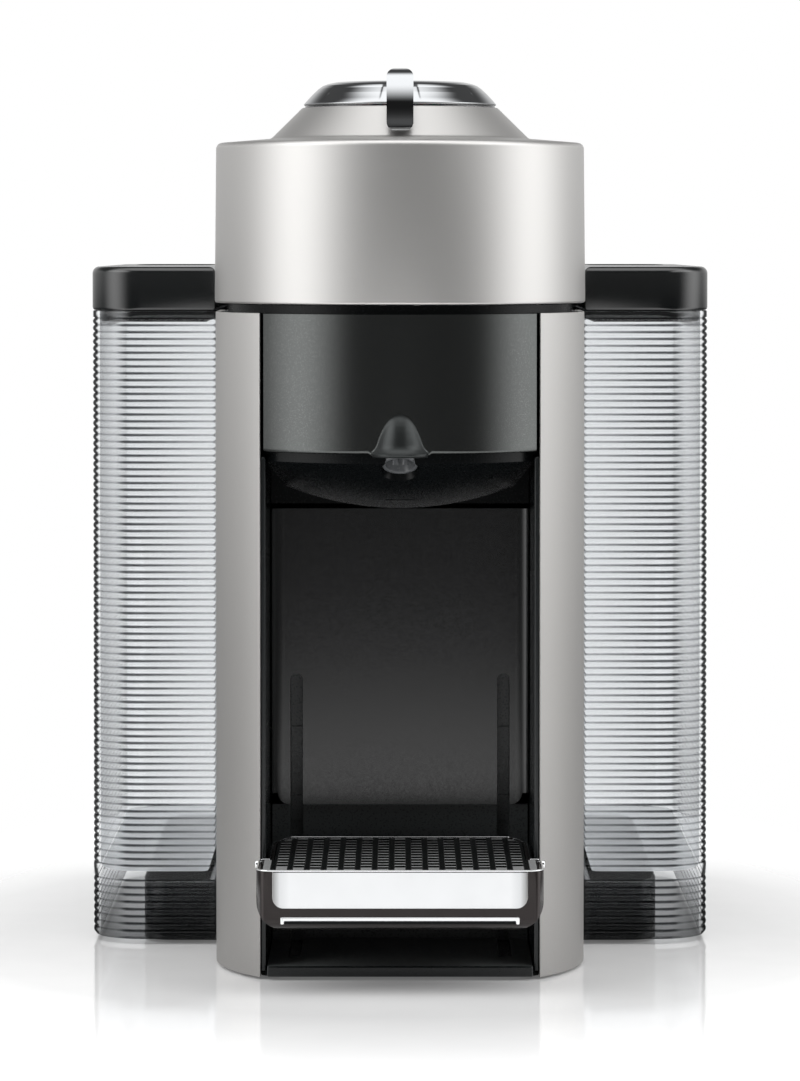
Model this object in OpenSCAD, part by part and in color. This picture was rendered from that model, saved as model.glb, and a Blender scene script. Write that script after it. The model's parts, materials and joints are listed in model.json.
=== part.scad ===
// Pod coffee machine: round tilting head with a spinning capsule chamber, cup bay with an
// adjustable drip tray, pull-out capsule container and a wrap-around lift-off water tank.
// Millimetres. +Z up, the front faces -Y, origin under the middle of the bounding box.

/* [Head] */
// Outer radius of the round head
head_r = 62; // [61:0.25:63]
// Height of the head's cylindrical wall
head_h = 53.5; // [50:0.5:56]
// Radius of the dome where it leaves the head's top
dome_r = 41.5; // [40:0.5:43]
// Radius of the flat on top of the dome
dome_top_r = 33.5; // [33:0.25:34]
// Height of the dome above the head's wall
dome_h = 11.8; // [11:0.1:13]
// Outer radius of the ring-shaped lever
lever_r = 32.4; // [31.5:0.1:33]
// Width of the lever's finger tab
tab_w = 8.8; // [7:0.2:10]

/* [Body] */
// Height of the column covers and the brewing deck above the table
deck_z = 219.5; // [218:0.5:221]
// Half width of the gap between the two column covers
bay_x = 45.9; // [45.8:0.1:46.2]
// Wall thickness of covers and shells
wall = 2; // [1.6:0.1:2.4]
// Height of the front panel's lower edge
panel_z = 174; // [172:0.5:178]
// Lowest point of the bowl over the cup bay
bowl_z = 153.4; // [152.5:0.1:154]
// Distance of the cup bay's back wall behind the head's axis
bay_back = 18; // [17:0.5:19]

/* [Drip tray] */
// Reach of the drip tray in front of the head's axis
tray_reach = 75; // [72:0.5:78]
// Height of the tray's rim above the table in its lowest place
tray_z = 40.8; // [39:0.2:42]
// Height of the tray's body
tray_h = 20.2; // [18:0.2:21]
// Distance between two heights of the tray
tray_step = 23.5; // [22:0.5:23.5]
// Number of columns of holes in the grid
grid_columns = 15; // [11:2:17]
// Number of rows of holes in the grid
grid_rows = 12; // [8:1:13]

/* [Water tank] */
// Half width of the tank
tank_x = 107; // [104:0.5:110]
// Distance of the tank's front behind the head's axis
tank_front = 35; // [34:0.5:40]
// Distance of the tank's back behind the head's axis
tank_back = 225; // [215:1:235]
// Corner radius of the tank
tank_corner = 18; // [14:1:22]
// Height of the tank's inner floor above the table
tank_floor_z = 22.4; // [22.4:0.2:26]
// Height of the tank's lid
lid_h = 15; // [13:0.5:17]

/* [Capsule chamber] */
// Distance of the spin axis in front of the head's axis
brew_y = -16; // [-16.5:0.25:-15.5]
// Inner radius of the capsule holder's mouth
holder_r = 30.5; // [29.5:0.25:31]
// Radius of the pin the head turns on
hinge_r = 3; // [2.5:0.25:3.5]

/* [Hidden] */
$fn = 96;
eps = 0.01;

// Whole machine
axis_y = (tray_reach - tank_back) / 2; // the head's axis, so that the box is centred on Y
foot_h = 1; // height of the rubber feet
pan_t = 1.8; // thickness of the base plate
pan_z = foot_h + pan_t; // top of the base plate
column_z = 0.8; // lower edge of the column covers

// Body
inner_r = head_r - wall - 0.6; // what fits inside the column covers
side_x = head_r - 0.5; // outer face of the side panels
body_back = 170.5; // back face of the rear cover
bulkhead_y = 112; // wall between the capsule bay and the machine room
deck_t = 3; // thickness of the brewing deck
deck_back = 80; // back edge of the brewing deck
rear_z = 231.5; // top of the rear deck
liner_x = 44.2; // inner face of the cup bay's side liners
panel_x = bay_x - 1.1; // half width of the front panel
bowl_r = 104; // spherical radius of the bowl
bowl_c = bowl_z + bowl_r; // height of the bowl's centre
collar_r = inner_r - 1.8; // collar round the brewing chamber
collar_z = 172.4; // upper edge of the bowl and the liners
flange_y = -35.2; // back edge of the column covers' inner flanges

// Head
head_z = deck_z + 3;
plate_t = 2.6; // thickness of the head's base plate
head_top = head_z + head_h;
dome_top = head_top + dome_h;
hinge_y = 68; // hinge axis behind the head's axis
hinge_z = 228; // height of the hinge axis
knuckle_x = 33.5; // half width of the head's knuckle
knuckle_r = 7;
lever_z = dome_top + 0.6; // underside of the lever
lever_pin_y = 14; // lever pivot behind the head's axis
lever_pin_z = lever_z + 3;
tab_top = dome_top + 12.2; // highest point of the machine
tab_low = dome_top - 8.8; // lowest point of the tab
button_r = 13;
motor_r = 22;
latch_bar_y = -56; // bar that the latch catches under
latch_bar_z = 227;
latch_pin_z = 240;
switch_x = 46; // switch that feels the closed head
switch_y = 23;

// Capsule container and tray
slide_x = 43.7; // half width of everything that slides out of the bay
container_z = 3; // underside of the container
recess_z = 152; // top of the container
step_z = 50.7; // below this height the back wall steps back
step_y = 2.5; // by this much
slot_x = 35.3; // middle of the hook slots
slot_w = 4.2;
slot_top = 95.5;
slot_deep = 6.5; // depth of the slots behind the lower wall
bin_front = bay_back + 9;
bin_back = 108;
hook_z = tray_z - 10.6; // height of the ledge that carries a hook
tray_bottom = tray_z - tray_h;
tray_x = bay_x + 0.5; // half width of the tray in front of the columns
nozzle_y = -53.5; // coffee outlet in front of the head's axis
nozzle_r = 5.9;

// Water tank
tank_wall = 2.5;
tank_z = 1.8; // lower edge of the tank's skirt
channel_x = head_r + 1.5; // half width of the channel that the body stands in
channel_back = body_back + 3.5;
platform_x = 89; // half width of the platform under the tank
platform_z = tank_floor_z - 0.5;
platform_back = tank_back - 4;
dock_x = 30;
dock_y = 199;
cage_z = tank_floor_z + tank_wall + 16; // cap of the cage over the tank's valve
gland_x = -45;
gland_z = 11;
gland_r = 6;
gland_bore = 3.6; // radius of the cord's hole

// ---- Functions ----

function unit(v) = v / norm(v);

// Points along an arc about [cx, cy]
function arc(cx, cy, r, from, to, n = 6) =
  [for (i = [0:n]) let (a = from + (to - from) * i / n) [cx + r * cos(a), cy + r * sin(a)]];

// Outline of a rounded rectangle
function rounded(x0, x1, y0, y1, r, n = 8) = concat(
  arc(x1 - r, y0 + r, r, -90, 0, n), arc(x1 - r, y1 - r, r, 0, 90, n),
  arc(x0 + r, y1 - r, r, 90, 180, n), arc(x0 + r, y0 + r, r, 180, 270, n));

// A smooth curve through the points of a route
function smooth(p, steps = 5) = concat(
  [for (i = [0:len(p) - 2], s = [0:steps - 1])
    let (t = s / steps, a = p[max(i - 1, 0)], b = p[i], c = p[i + 1], d = p[min(i + 2, len(p) - 1)])
    (2 * b + (c - a) * t + (2 * a - 5 * b + 4 * c - d) * t * t
      + (3 * b - a - 3 * c + d) * t * t * t) / 2],
  [p[len(p) - 1]]);

// ---- Shared shapes ----

module at_axis() {
  translate([0, axis_y, 0]) children();
}

// A box between two corners
module block(from, to) {
  translate(from) cube(to - from);
}

// A slab with a rounded plan
module slab(x0, x1, y0, y1, r, z0, z1) {
  translate([0, 0, z0]) linear_extrude(z1 - z0) polygon(rounded(x0, x1, y0, y1, r));
}

// A ring or tube about the Z axis
module tube(outer, inner, z0, z1) {
  difference() {
    translate([0, 0, z0]) cylinder(r = outer, h = z1 - z0);
    translate([0, 0, z0 - 1]) cylinder(r = inner, h = z1 - z0 + 2);
  }
}

// A rod along X
module rod_x(x0, x1, y, z, r) {
  translate([x0, y, z]) rotate([0, 90, 0]) cylinder(r = r, h = x1 - x0);
}

// A profile drawn in Y and Z, extruded along X
module profile_x(x0, x1) {
  translate([x0, 0, 0]) rotate([90, 0, 90]) linear_extrude(x1 - x0) children();
}

// A round bar along a path; ref is a direction the path never runs in
module bar(path, r, ref, sides = 8) {
  n = len(path);
  rings = [for (i = [0:n - 1])
    let (t = unit(path[min(i + 1, n - 1)] - path[max(i - 1, 0)]),
      w = unit(ref - (ref * t) * t), u = cross(t, w))
    for (j = [0:sides - 1]) path[i] + r * (cos(360 * j / sides) * u + sin(360 * j / sides) * w)];
  sides_faces = [for (i = [0:n - 2], j = [0:sides - 1])
    let (a = i * sides + j, b = i * sides + (j + 1) % sides)
    each [[a, b, b + sides], [a, b + sides, a + sides]]];
  start = [for (j = [sides - 1:-1:0]) j];
  end = [for (j = [0:sides - 1]) (n - 1) * sides + j];
  polyhedron(rings, concat(sides_faces, [start, end]));
}

module both_sides() {
  children();
  mirror([1, 0, 0]) children();
}

// ---- Base ----

module pan_plan(back) {
  intersection() {
    circle(r = inner_r);
    union() {
      translate([-inner_r, flange_y + 0.3]) square([2 * inner_r, 1 - flange_y]);
      translate([-bay_x + 0.2, -41]) square([2 * bay_x - 0.4, 42]);
    }
  }
  translate([-inner_r, 0]) square([2 * inner_r, back]);
}

module platform_plan(inset) {
  polygon(rounded(-platform_x + inset, platform_x - inset, tank_front + 3.8 + inset,
    platform_back - inset, 10));
}

module base_pan() {
  room_x = side_x + 0.3;
  color([0.06, 0.07, 0.07]) at_axis() difference() {
    union() {
      translate([0, 0, foot_h]) linear_extrude(pan_t) union() {
        pan_plan(60);
        platform_plan(0);
      }
      translate([0, 0, foot_h]) linear_extrude(platform_z - foot_h) difference() {
        platform_plan(0);
        platform_plan(2.5);
      }
      translate([0, 0, platform_z - 2.5]) linear_extrude(2.5) platform_plan(0);
      block([-room_x - 2, tank_front + 4, foot_h], [room_x + 2, body_back + 2.3, platform_z]);
    }
    block([-room_x, tank_front, pan_z], [room_x, body_back + 0.3, platform_z + 1]);
    translate([dock_x, dock_y, 2]) cylinder(r = 13.1, h = platform_z);
    translate([gland_x, platform_back - 4, gland_z]) rotate([-90, 0, 0])
      cylinder(r = gland_r + 0.05, h = 8);
  }
}

module rubber_feet() {
  color([0.1, 0.1, 0.1]) at_axis()
    for (x = [-1, 1], p = [[47, -23], [76, 62], [76, 206]])
      translate([x * p[0], p[1], 0]) cylinder(r = 7, h = foot_h);
}

// ---- Column covers and body panels ----

module column() {
  color([0.72, 0.71, 0.7]) at_axis() difference() {
    union() {
      intersection() {
        translate([0, 0, column_z]) rotate(90) cylinder(r = head_r, h = deck_z - column_z);
        block([bay_x, -head_r, 0], [head_r + 1, 0, deck_z + 1]);
      }
      block([bay_x, 0, column_z], [head_r, tank_front - 2, deck_z]);
    }
    intersection() {
      rotate(90) cylinder(r = head_r - wall, h = deck_z + 1);
      block([bay_x + wall, -head_r, -1], [head_r + 1, 0, deck_z + 2]);
    }
    block([bay_x + wall, 0, -1], [head_r - wall, tank_front, deck_z + 1]);
    block([bay_x - 1, flange_y, -1], [bay_x + wall + 1, tank_front, deck_z + 1]);
  }
}

module right_column() {
  column();
}

module left_column() {
  mirror([1, 0, 0]) column();
}

module liner() {
  color([0.08, 0.1, 0.1]) at_axis()
    block([liner_x, -40.5, pan_z + eps], [liner_x + 1.6, bulkhead_y - 0.3, collar_z - 0.1]);
}

module right_liner() {
  liner();
}

module left_liner() {
  mirror([1, 0, 0]) liner();
}

module side_panel() {
  color([0.07, 0.08, 0.08]) at_axis() {
    block([side_x - wall, tank_front - 1.8, pan_z + eps], [side_x, 80, deck_z - deck_t - 0.2]);
    block([side_x - wall, 79.7, pan_z + eps], [side_x, body_back - 2.7, rear_z - 3.2]);
  }
}

module right_side_panel() {
  side_panel();
}

module left_side_panel() {
  mirror([1, 0, 0]) side_panel();
}

module rear_cover() {
  color([0.07, 0.08, 0.08]) at_axis()
    block([-side_x, body_back - 2.5, pan_z + eps], [side_x, body_back, rear_z - 3.2]);
}

module rear_deck() {
  vents = 9;
  color([0.07, 0.08, 0.08]) at_axis() difference() {
    slab(-side_x, side_x, 77.5, body_back, 4, deck_z + 0.2, rear_z);
    block([-side_x - 1, 79.5, deck_z - 1], [side_x + 1, body_back + 1, rear_z - 3]);
    for (i = [0:vents - 1])
      slab(-30, 30, 112 + i * 5.5, 114.4 + i * 5.5, 1.1, rear_z - 4, rear_z + 1);
  }
}

module bulkhead() {
  color([0.12, 0.13, 0.13]) at_axis() difference() {
    block([-side_x + wall + 0.3, bulkhead_y, pan_z + eps],
      [side_x - wall - 0.3, bulkhead_y + 2, rear_z - 3.2]);
    translate([24, bulkhead_y - 1, 200]) rotate([-90, 0, 0]) cylinder(r = 3.5, h = 5);
  }
}

// ---- Brewing chamber ----

module brew_deck() {
  rim_r = head_r - 2.8;
  color([0.1, 0.11, 0.11]) at_axis() intersection() {
    tube(rim_r, rim_r - 1.3, deck_z - eps, head_z - 0.3);
    block([-head_r, -head_r, deck_z - 1], [head_r, -15, head_z]);
  }
  color([0.1, 0.11, 0.11]) at_axis() difference() {
    translate([0, 0, deck_z - deck_t]) linear_extrude(deck_t) union() {
      circle(r = inner_r);
      translate([-inner_r, 0]) square([2 * inner_r, deck_back]);
    }
    translate([0, brew_y, deck_z - deck_t - 1]) cylinder(r = 34.2, h = deck_t + 2);
    slab(-33.5, 33.5, 26, 61.5, 6, deck_z - deck_t - 1, deck_z + 1);
    translate([switch_x, switch_y, deck_z - deck_t - 1]) cylinder(r = 1.8, h = deck_t + 2);
    translate([48, 72, deck_z - deck_t - 1]) cylinder(r = 2.6, h = deck_t + 2);
    both_sides() block([bay_x - 0.2, -head_r, deck_z - deck_t - 1],
      [head_r, flange_y + 0.3, deck_z + 1]);
  }
}

// Rounded underside over the cup bay, with steeper sides
module bowl_shape(inset) {
  x = liner_x - 0.3 - inset;
  z = bowl_z + 8.2 + 1.4 * inset;
  intersection() {
    translate([0, 0, bowl_c]) sphere(r = bowl_r - inset);
    translate([0, 0, bowl_z - 1]) cylinder(r = collar_r - inset, h = 28);
    translate([0, bay_back + 2.6, 0]) rotate([90, 0, 0]) linear_extrude(bay_back + 80)
      polygon([[x - 5.8, z - 10], [x - 5.8, z], [x, z + 8.9], [x, 190],
        [-x, 190], [-x, z + 8.9], [-x + 5.8, z], [-x + 5.8, z - 10]]);
  }
}

module brew_bowl() {
  boss_r = 13.5;
  color([0.05, 0.06, 0.06]) at_axis() difference() {
    union() {
      intersection() {
        bowl_shape(0);
        translate([0, 0, bowl_z - 1]) cylinder(r = collar_r, h = collar_z + 3 - bowl_z);
      }
      intersection() {
        tube(collar_r, 30, collar_z, collar_z + 2);
        block([-head_r, -head_r, collar_z], [head_r, bay_back + 2.6, deck_z]);
      }
      tube(collar_r, collar_r - 1.6, collar_z, deck_z - deck_t - 0.1);
      block([-liner_x + 0.3, bay_back + 0.6, bowl_z + 0.3],
        [liner_x - 0.3, bay_back + 2.6, collar_z + 1]);
      translate([0, brew_y, bowl_z + 4]) cylinder(r = boss_r, h = 21);
    }
    difference() {
      bowl_shape(2.4);
      translate([0, brew_y, bowl_z]) cylinder(r = boss_r, h = 40);
    }
    block([-head_r, bay_back + 2.6, bowl_z - 2], [head_r, head_r, deck_z]);
    translate([0, brew_y, bowl_z + 6]) cylinder(r = 11.02, h = 40);
    translate([0, nozzle_y, bowl_z]) cylinder(r = nozzle_r + 0.3, h = 60);
  }
}

module front_panel() {
  // Side view of the nose over the outlet, as radius and height
  nose_axis = -57;
  nose = [[0, panel_z - 1.5], [10.6, panel_z - 0.1], [8.9, panel_z + 1.2], [8.3, panel_z + 2.6],
    [7.6, panel_z + 5.2], [6.6, panel_z + 8.2], [5.5, panel_z + 10.6], [4.1, panel_z + 12.4],
    [0, panel_z + 13]];
  color([0.16, 0.17, 0.17]) at_axis() difference() {
    union() {
      intersection() {
        tube(head_r - 0.8, head_r - 2.5, panel_z, deck_z - 0.2);
        block([-panel_x, -head_r, panel_z - 1], [panel_x, -20, deck_z]);
      }
      intersection() {
        translate([0, nose_axis, 0]) rotate_extrude() polygon(nose);
        block([-14, -head_r - 12, panel_z - 3], [14, -collar_r - 0.2, deck_z]);
      }
    }
    translate([0, nozzle_y, panel_z - 4]) cylinder(r = nozzle_r + 0.35, h = 25);
  }
}

module coffee_nozzle() {
  cut_z = 167;
  color([0.3, 0.31, 0.32]) at_axis() difference() {
    translate([0, nozzle_y, 0]) tube(nozzle_r, nozzle_r - 1.2, cut_z, 193.8);
    translate([-10, nozzle_y + nozzle_r, cut_z]) rotate([-27, 0, 0])
      translate([0, -30, -12]) cube([20, 40, 12]);
  }
}

module flow_straightener() {
  color([0.35, 0.36, 0.37]) at_axis() translate([0, nozzle_y, 0]) {
    for (a = [45:90:315]) rotate(a) translate([2.3, 0, 170.4]) cylinder(r = 1.15, h = 18);
    for (a = [0, 90]) rotate(a) block([-4.65, -0.4, 176], [4.65, 0.4, 188]);
  }
}

module collector_ring() {
  outer = 39.7;
  inner = 34.7;
  floor_z = 194;
  top = deck_z - deck_t - 0.2;
  color([0.16, 0.16, 0.17]) at_axis() translate([0, brew_y, 0]) difference() {
    tube(outer, inner, floor_z, top);
    tube(outer - 1.3, inner + 1.3, floor_z + 1.5, top + 1);
    for (a = [-97:7:-83]) rotate(a) translate([(outer + inner) / 2, 0, floor_z - 1])
      cylinder(r = 1.3, h = 4);
  }
}

module capsule_holder() {
  flange_z = deck_z - 0.3;
  floor_z = 183;
  color([0.5, 0.5, 0.52]) at_axis() translate([0, brew_y, 0]) rotate_extrude() polygon(concat(
    [[0, 162], [6, 162], [6, floor_z - 4]],
    arc(20, floor_z + 3.5, 7.5, -80, -15, 5),
    [[holder_r + 1.5, flange_z - 3], [holder_r + 3, flange_z - 2.4], [holder_r + 3, flange_z],
      [holder_r, flange_z]],
    arc(20, floor_z + 5.5, 5.5, 0, -90, 5),
    [[0, floor_z]]));
}

module holder_bearing() {
  color([0.7, 0.7, 0.72]) at_axis() translate([0, brew_y, 0]) {
    tube(11, 9.2, 172.5, 178.5);
    tube(7.8, 6.06, 172.5, 178.5);
    for (a = [0:45:315]) rotate(a) translate([8.5, 0, 173.3]) cylinder(r = 1.2, h = 4.4);
  }
}

module ejection_chute() {
  top = deck_z - deck_t - 0.1;
  low = recess_z + 1.6;
  color([0.14, 0.15, 0.15]) at_axis() {
    both_sides() block([33.6, 27.6, low], [35.2, 63.5, top]);
    profile_x(-33.6, 33.6) polygon([[30.5, low], [32, low], [27.6, top], [26, top]]);
    block([-33.6, 61.9, low], [33.6, 63.5, top]);
  }
}

module head_switch() {
  z = deck_z - deck_t - eps;
  color([0.15, 0.15, 0.16]) at_axis() translate([switch_x, switch_y, 0]) {
    block([-5, -3, z - 9], [5, 3, z]);
    translate([0, 0, z - 1]) cylinder(r = 1.5, h = head_z - 0.3 - z + 1);
  }
}

module latch_keeper() {
  color([0.6, 0.6, 0.62]) at_axis() {
    both_sides() block([4.5, latch_bar_y - 1.3, deck_z + eps],
      [6.5, latch_bar_y + 1.3, latch_bar_z + 1]);
    rod_x(-5, 5, latch_bar_y, latch_bar_z, 1);
  }
}

// ---- Head hinge ----

module hinge_bracket() {
  color([0.09, 0.1, 0.1]) at_axis() both_sides() difference() {
    union() {
      rod_x(34, 40, hinge_y, hinge_z, knuckle_r);
      block([34, hinge_y - knuckle_r, deck_z + eps], [40, hinge_y + knuckle_r, hinge_z]);
    }
    rod_x(33, 41, hinge_y, hinge_z, hinge_r + 0.02);
  }
}

module hinge_pin() {
  color([0.75, 0.75, 0.77]) at_axis() difference() {
    rod_x(-49, 49, hinge_y, hinge_z, hinge_r);
    rod_x(-50, 50, hinge_y, hinge_z, 1.2);
  }
}

module hinge_damper() {
  color([0.2, 0.2, 0.21]) at_axis() difference() {
    union() {
      rod_x(-49, -40.3, hinge_y, hinge_z, 7.5);
      block([-49, hinge_y - 5, deck_z + eps], [-40.3, hinge_y + 5, hinge_z]);
    }
    rod_x(-50, -40, hinge_y, hinge_z, hinge_r + 0.02);
  }
}

module water_swivel() {
  color([0.75, 0.65, 0.4]) at_axis() difference() {
    rod_x(42, 50.5, hinge_y, hinge_z, 5);
    rod_x(41, 49.2, hinge_y, hinge_z, hinge_r + 0.02);
  }
}

module head_knuckle() {
  color([0.09, 0.1, 0.1]) at_axis() difference() {
    union() {
      rod_x(-knuckle_x, knuckle_x, hinge_y, hinge_z, knuckle_r);
      block([-knuckle_x, 44, head_z + plate_t + eps], [knuckle_x, hinge_y, hinge_z + knuckle_r]);
    }
    rod_x(-40, 40, hinge_y, hinge_z, hinge_r + 0.06);
    translate([0, brew_y, head_z]) cylinder(r = 61, h = 2.8);
  }
}

// ---- Head ----

module head_cover() {
  t = 2.2;
  draft = 0.5;
  r0 = head_r + 0.3;
  r1 = r0 - draft;
  foot = dome_r + 0.3;
  color([0.75, 0.75, 0.75]) at_axis() difference() {
    rotate_extrude() polygon(concat(
      [[r0 - t, head_z], [r0 - 0.8, head_z], [r0, head_z + 0.8]],
      arc(r1 - 2, head_top - 2, 2, 0, 80, 5),
      [[foot + 3, head_top + 1.2]],
      arc(foot + 3, head_top + 4.2, 3, 270, 228, 4),
      arc(dome_top_r - 1.2, dome_top - 1.2, 1.2, 45, 90, 3),
      [[dome_top_r - 2.5, dome_top], [dome_top_r - 2.5, dome_top - t],
        [foot - 1.5, head_top + 1.2 - t], [r1 - t - 1.5, head_top - t], [r1 - t, head_top - t - 1.5]]));
    block([-knuckle_x - 0.6, 30, head_z - 1], [knuckle_x + 0.6, 70, hinge_z + knuckle_r + 0.6]);
  }
}

module head_base_plate() {
  latch_y = latch_bar_y + 4.5;
  color([0.07, 0.08, 0.08]) at_axis() both_sides() difference() {
    block([4, latch_y - 2.4, head_z], [5.5, latch_y + 2.4, latch_pin_z + 2.5]);
    block([-eps, latch_y - 3, head_z - 1], [4.2, latch_y + 3, head_z + 3]);
  }
  color([0.07, 0.08, 0.08]) at_axis() rod_x(-5, 5, latch_y, latch_pin_z, 1);
  color([0.07, 0.08, 0.08]) at_axis() difference() {
    translate([0, 0, head_z]) cylinder(r = head_r - 2.8, h = plate_t);
    translate([0, brew_y, head_z - 1]) cylinder(r = 32.3, h = 5);
    block([-7.2, latch_bar_y - 2, head_z - 1], [7.2, latch_bar_y + 2, head_z + 5]);
    block([-3.9, latch_bar_y, head_z - 1], [3.9, -45.5, head_z + 5]);
    block([-knuckle_x - 1, 56.5, head_z - 1], [knuckle_x + 1, 70, head_z + 5]);
  }
}

module motor_bracket() {
  z = head_z + 10.5;
  foot_z = head_z + plate_t + eps;
  color([0.62, 0.63, 0.65]) at_axis() translate([0, brew_y, 0]) difference() {
    union() {
      translate([0, 0, z]) cylinder(r = 32, h = 2);
      for (a = [90:120:330]) rotate(a) translate([36, 0, 0]) {
        translate([0, 0, foot_z]) cylinder(r = 4, h = z + 2 - foot_z);
        block([-8, -4, z], [0, 4, z + 2]);
      }
    }
    translate([0, 0, z - 1]) cylinder(r = 11.05, h = 4);
  }
}

module rotor_bearing() {
  z = head_z + 8.5;
  color([0.7, 0.7, 0.72]) at_axis() translate([0, brew_y, 0]) {
    tube(11, 9.2, z, z + 5);
    tube(7.8, 5.06, z, z + 5);
    for (a = [0:45:315]) rotate(a) translate([8.5, 0, z + 0.5]) cylinder(r = 1.2, h = 4);
  }
}

module spin_motor() {
  z = head_z + 14.5;
  color([0.55, 0.56, 0.58]) at_axis() translate([0, brew_y, 0]) difference() {
    union() {
      translate([0, 0, z]) cylinder(r = motor_r, h = 28);
      translate([0, 0, z + 28]) cylinder(r = 8, h = 3);
      tube(motor_r - 2, 14, z - 2, z);
    }
    translate([0, 0, z - 3]) cylinder(r = 5.3, h = 14);
  }
}

module head_water_tube() {
  z = head_z + 48.2;
  color([0.85, 0.85, 0.8]) at_axis()
    bar(smooth([[12, 56, 235.1], [12, 55, 240], [12, 46, 254], [10, 32, z - 5], [6, 12, z],
      [2, -8, z], [0, brew_y, z]]), 2, [1, 0, 0]);
}

module injector_rotor() {
  z = head_z - 1.3;
  color([0.55, 0.56, 0.57]) at_axis() translate([0, brew_y, 0]) {
    difference() {
      union() {
        translate([0, 0, z]) cylinder(r = 31, h = 6);
        translate([0, 0, z + 6]) cylinder(r = 5, h = 18);
        translate([0, 0, z + 6]) cylinder(r = 6.5, h = 2.6);
      }
      tube(27, 12, z + 2, z + 7);
    }
    translate([0, 0, z - 9]) cylinder(r1 = 0.3, r2 = 1.5, h = 9.1);
    for (a = [0:20:340]) rotate(a) translate([26.5, 0, z - 3])
      cylinder(r1 = 0.2, r2 = 0.9, h = 3.1);
  }
}

module injector_seal() {
  color([0.6, 0.2, 0.12]) at_axis() translate([0, brew_y, 0])
    tube(30.8, 28.4, head_z - 2.6, head_z - 1.31);
}

module top_plate() {
  color([0.03, 0.03, 0.03]) at_axis() difference() {
    union() {
      translate([0, 0, dome_top - 2.5]) cylinder(r = dome_top_r - 2.6, h = 2.5);
      translate([0, 0, dome_top + 0.01]) cylinder(r = dome_top_r - 1.6, h = 0.45);
      both_sides() {
        rod_x(11.6, 14.8, lever_pin_y, lever_pin_z, 2.6);
        block([11.6, lever_pin_y - 2.6, dome_top], [14.8, lever_pin_y + 2.6, lever_pin_z]);
      }
    }
    translate([0, 0, dome_top - 3]) cylinder(r = button_r + 2.2, h = 5);
    both_sides() rod_x(11, 16, lever_pin_y, lever_pin_z, 1.32);
  }
}

module light_ring() {
  color([0.85, 0.9, 0.95]) at_axis()
    tube(button_r + 2.1, button_r + 0.3, dome_top - 2.5, dome_top + 1);
}

module brew_button() {
  color([0.75, 0.75, 0.76]) at_axis() {
    rotate_extrude() polygon(concat([[0, dome_top - 2.5], [button_r, dome_top - 2.5]],
      arc(button_r - 1, dome_top + 1.2, 1, 0, 90, 4), [[0, dome_top + 2.6]]));
    translate([0, 0, dome_top - 5.4]) cylinder(r = 3, h = 3);
  }
}

module button_board() {
  color([0.05, 0.3, 0.15]) at_axis() {
    translate([0, 0, dome_top - 13]) difference() {
      cylinder(r = 17, h = 1.6);
      for (a = [0:120:240]) rotate(a) translate([14, 0, -1]) cylinder(r = 1.5, h = 4);
    }
    block([-4, -4, dome_top - 11.39], [4, 4, dome_top - 6.7]);
    for (a = [30:60:330]) rotate(a) translate([9.5, 0, dome_top - 11.39]) cylinder(r = 1.4, h = 1);
  }
}

module lever_pins() {
  color([0.8, 0.8, 0.82]) at_axis() both_sides() rod_x(11.6, 24, lever_pin_y, lever_pin_z, 1.3);
}

module lever() {
  // Half section of the lever's ring, as radius and height above its underside
  ring_section = [[20.8, 0], [lever_r, 0], [lever_r - 0.1, 0.4], [30, 3], [27.6, 5.5], [26.2, 6.6],
    [24.6, 7.1], [21.6, 7.9], [20.8, 7.2]];
  // Side view of the tab, as Y and height above the lever's underside
  tab_side = [[-21.5, 1.5], [-21.5, 7.6], [-25, 9.8], [-28.5, 11.2], [-32, 11.6], [-35.6, 11],
    [-38.8, 8.9], [-41.5, 5.2], [-43.6, 0.4], [-45, -5], [-45.2, -8.4], [-44.2, -9.4],
    [-42.8, -9.2], [-41.6, -6], [-40, -1.6], [-38.4, 1.8], [-36, 4], [-33.4, 4.6], [-30, 3],
    [-27, 1.5]];
  color([0.8, 0.8, 0.82]) at_axis() difference() {
    union() {
      difference() {
        translate([0, 0, lever_z]) rotate_extrude() polygon(ring_section);
        difference() {
          block([-40, lever_pin_y, lever_z - 1], [40, 40, lever_z + 20]);
          translate([-41, lever_pin_y, lever_pin_z]) rotate([0, 90, 0]) rotate(90)
            cylinder(r = lever_pin_z - lever_z, h = 82);
        }
        block([-15.4, 6, lever_z - 1], [15.4, 30, lever_z + 20]);
      }
      intersection() {
        translate([0, 0, lever_z]) profile_x(-tab_w / 2, tab_w / 2) polygon(tab_side);
        translate([0, -18, 0]) rotate([90, 0, 0]) linear_extrude(30) union() {
          translate([0, tab_top - tab_w / 2]) circle(r = tab_w / 2);
          translate([0, tab_low + tab_w / 2]) circle(r = tab_w / 2);
          translate([-tab_w / 2, tab_low + tab_w / 2])
            square([tab_w, tab_top - tab_low - tab_w]);
        }
      }
    }
    both_sides() rod_x(15, 24.4, lever_pin_y, lever_pin_z, 1.36);
  }
}

module latch_hook() {
  back = latch_bar_y + 5.6;
  color([0.6, 0.6, 0.62]) at_axis() difference() {
    union() {
      profile_x(-3.5, 3.5) polygon([[back, head_z + 1.4], [back - 4.2, head_z + 2.4],
        [back - 4.2, head_z + 3.1], [back - 2.2, head_z + 3.1], [back - 2.2, latch_pin_z],
        [back, latch_pin_z]]);
      rod_x(-3.5, 3.5, back - 1.1, latch_pin_z, 2.4);
    }
    rod_x(-4, 4, back - 1.1, latch_pin_z, 1.05);
  }
}

// ---- Water system ----

module tank_dock() {
  color([0.2, 0.21, 0.22]) at_axis() translate([dock_x, dock_y, 0]) {
    difference() {
      translate([0, 0, pan_z + eps]) cylinder(r = 13, h = platform_z - pan_z);
      translate([0, 0, 6]) cylinder(r = 10.6, h = 20);
      translate([-30, 0, 4.4]) rotate([0, 90, 0]) cylinder(r = 1.4, h = 30);
      translate([0, 0, 4.4]) cylinder(r = 1.4, h = 3);
    }
    tube(2.6, 1.4, 5.9, 8.6);
  }
}

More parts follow.
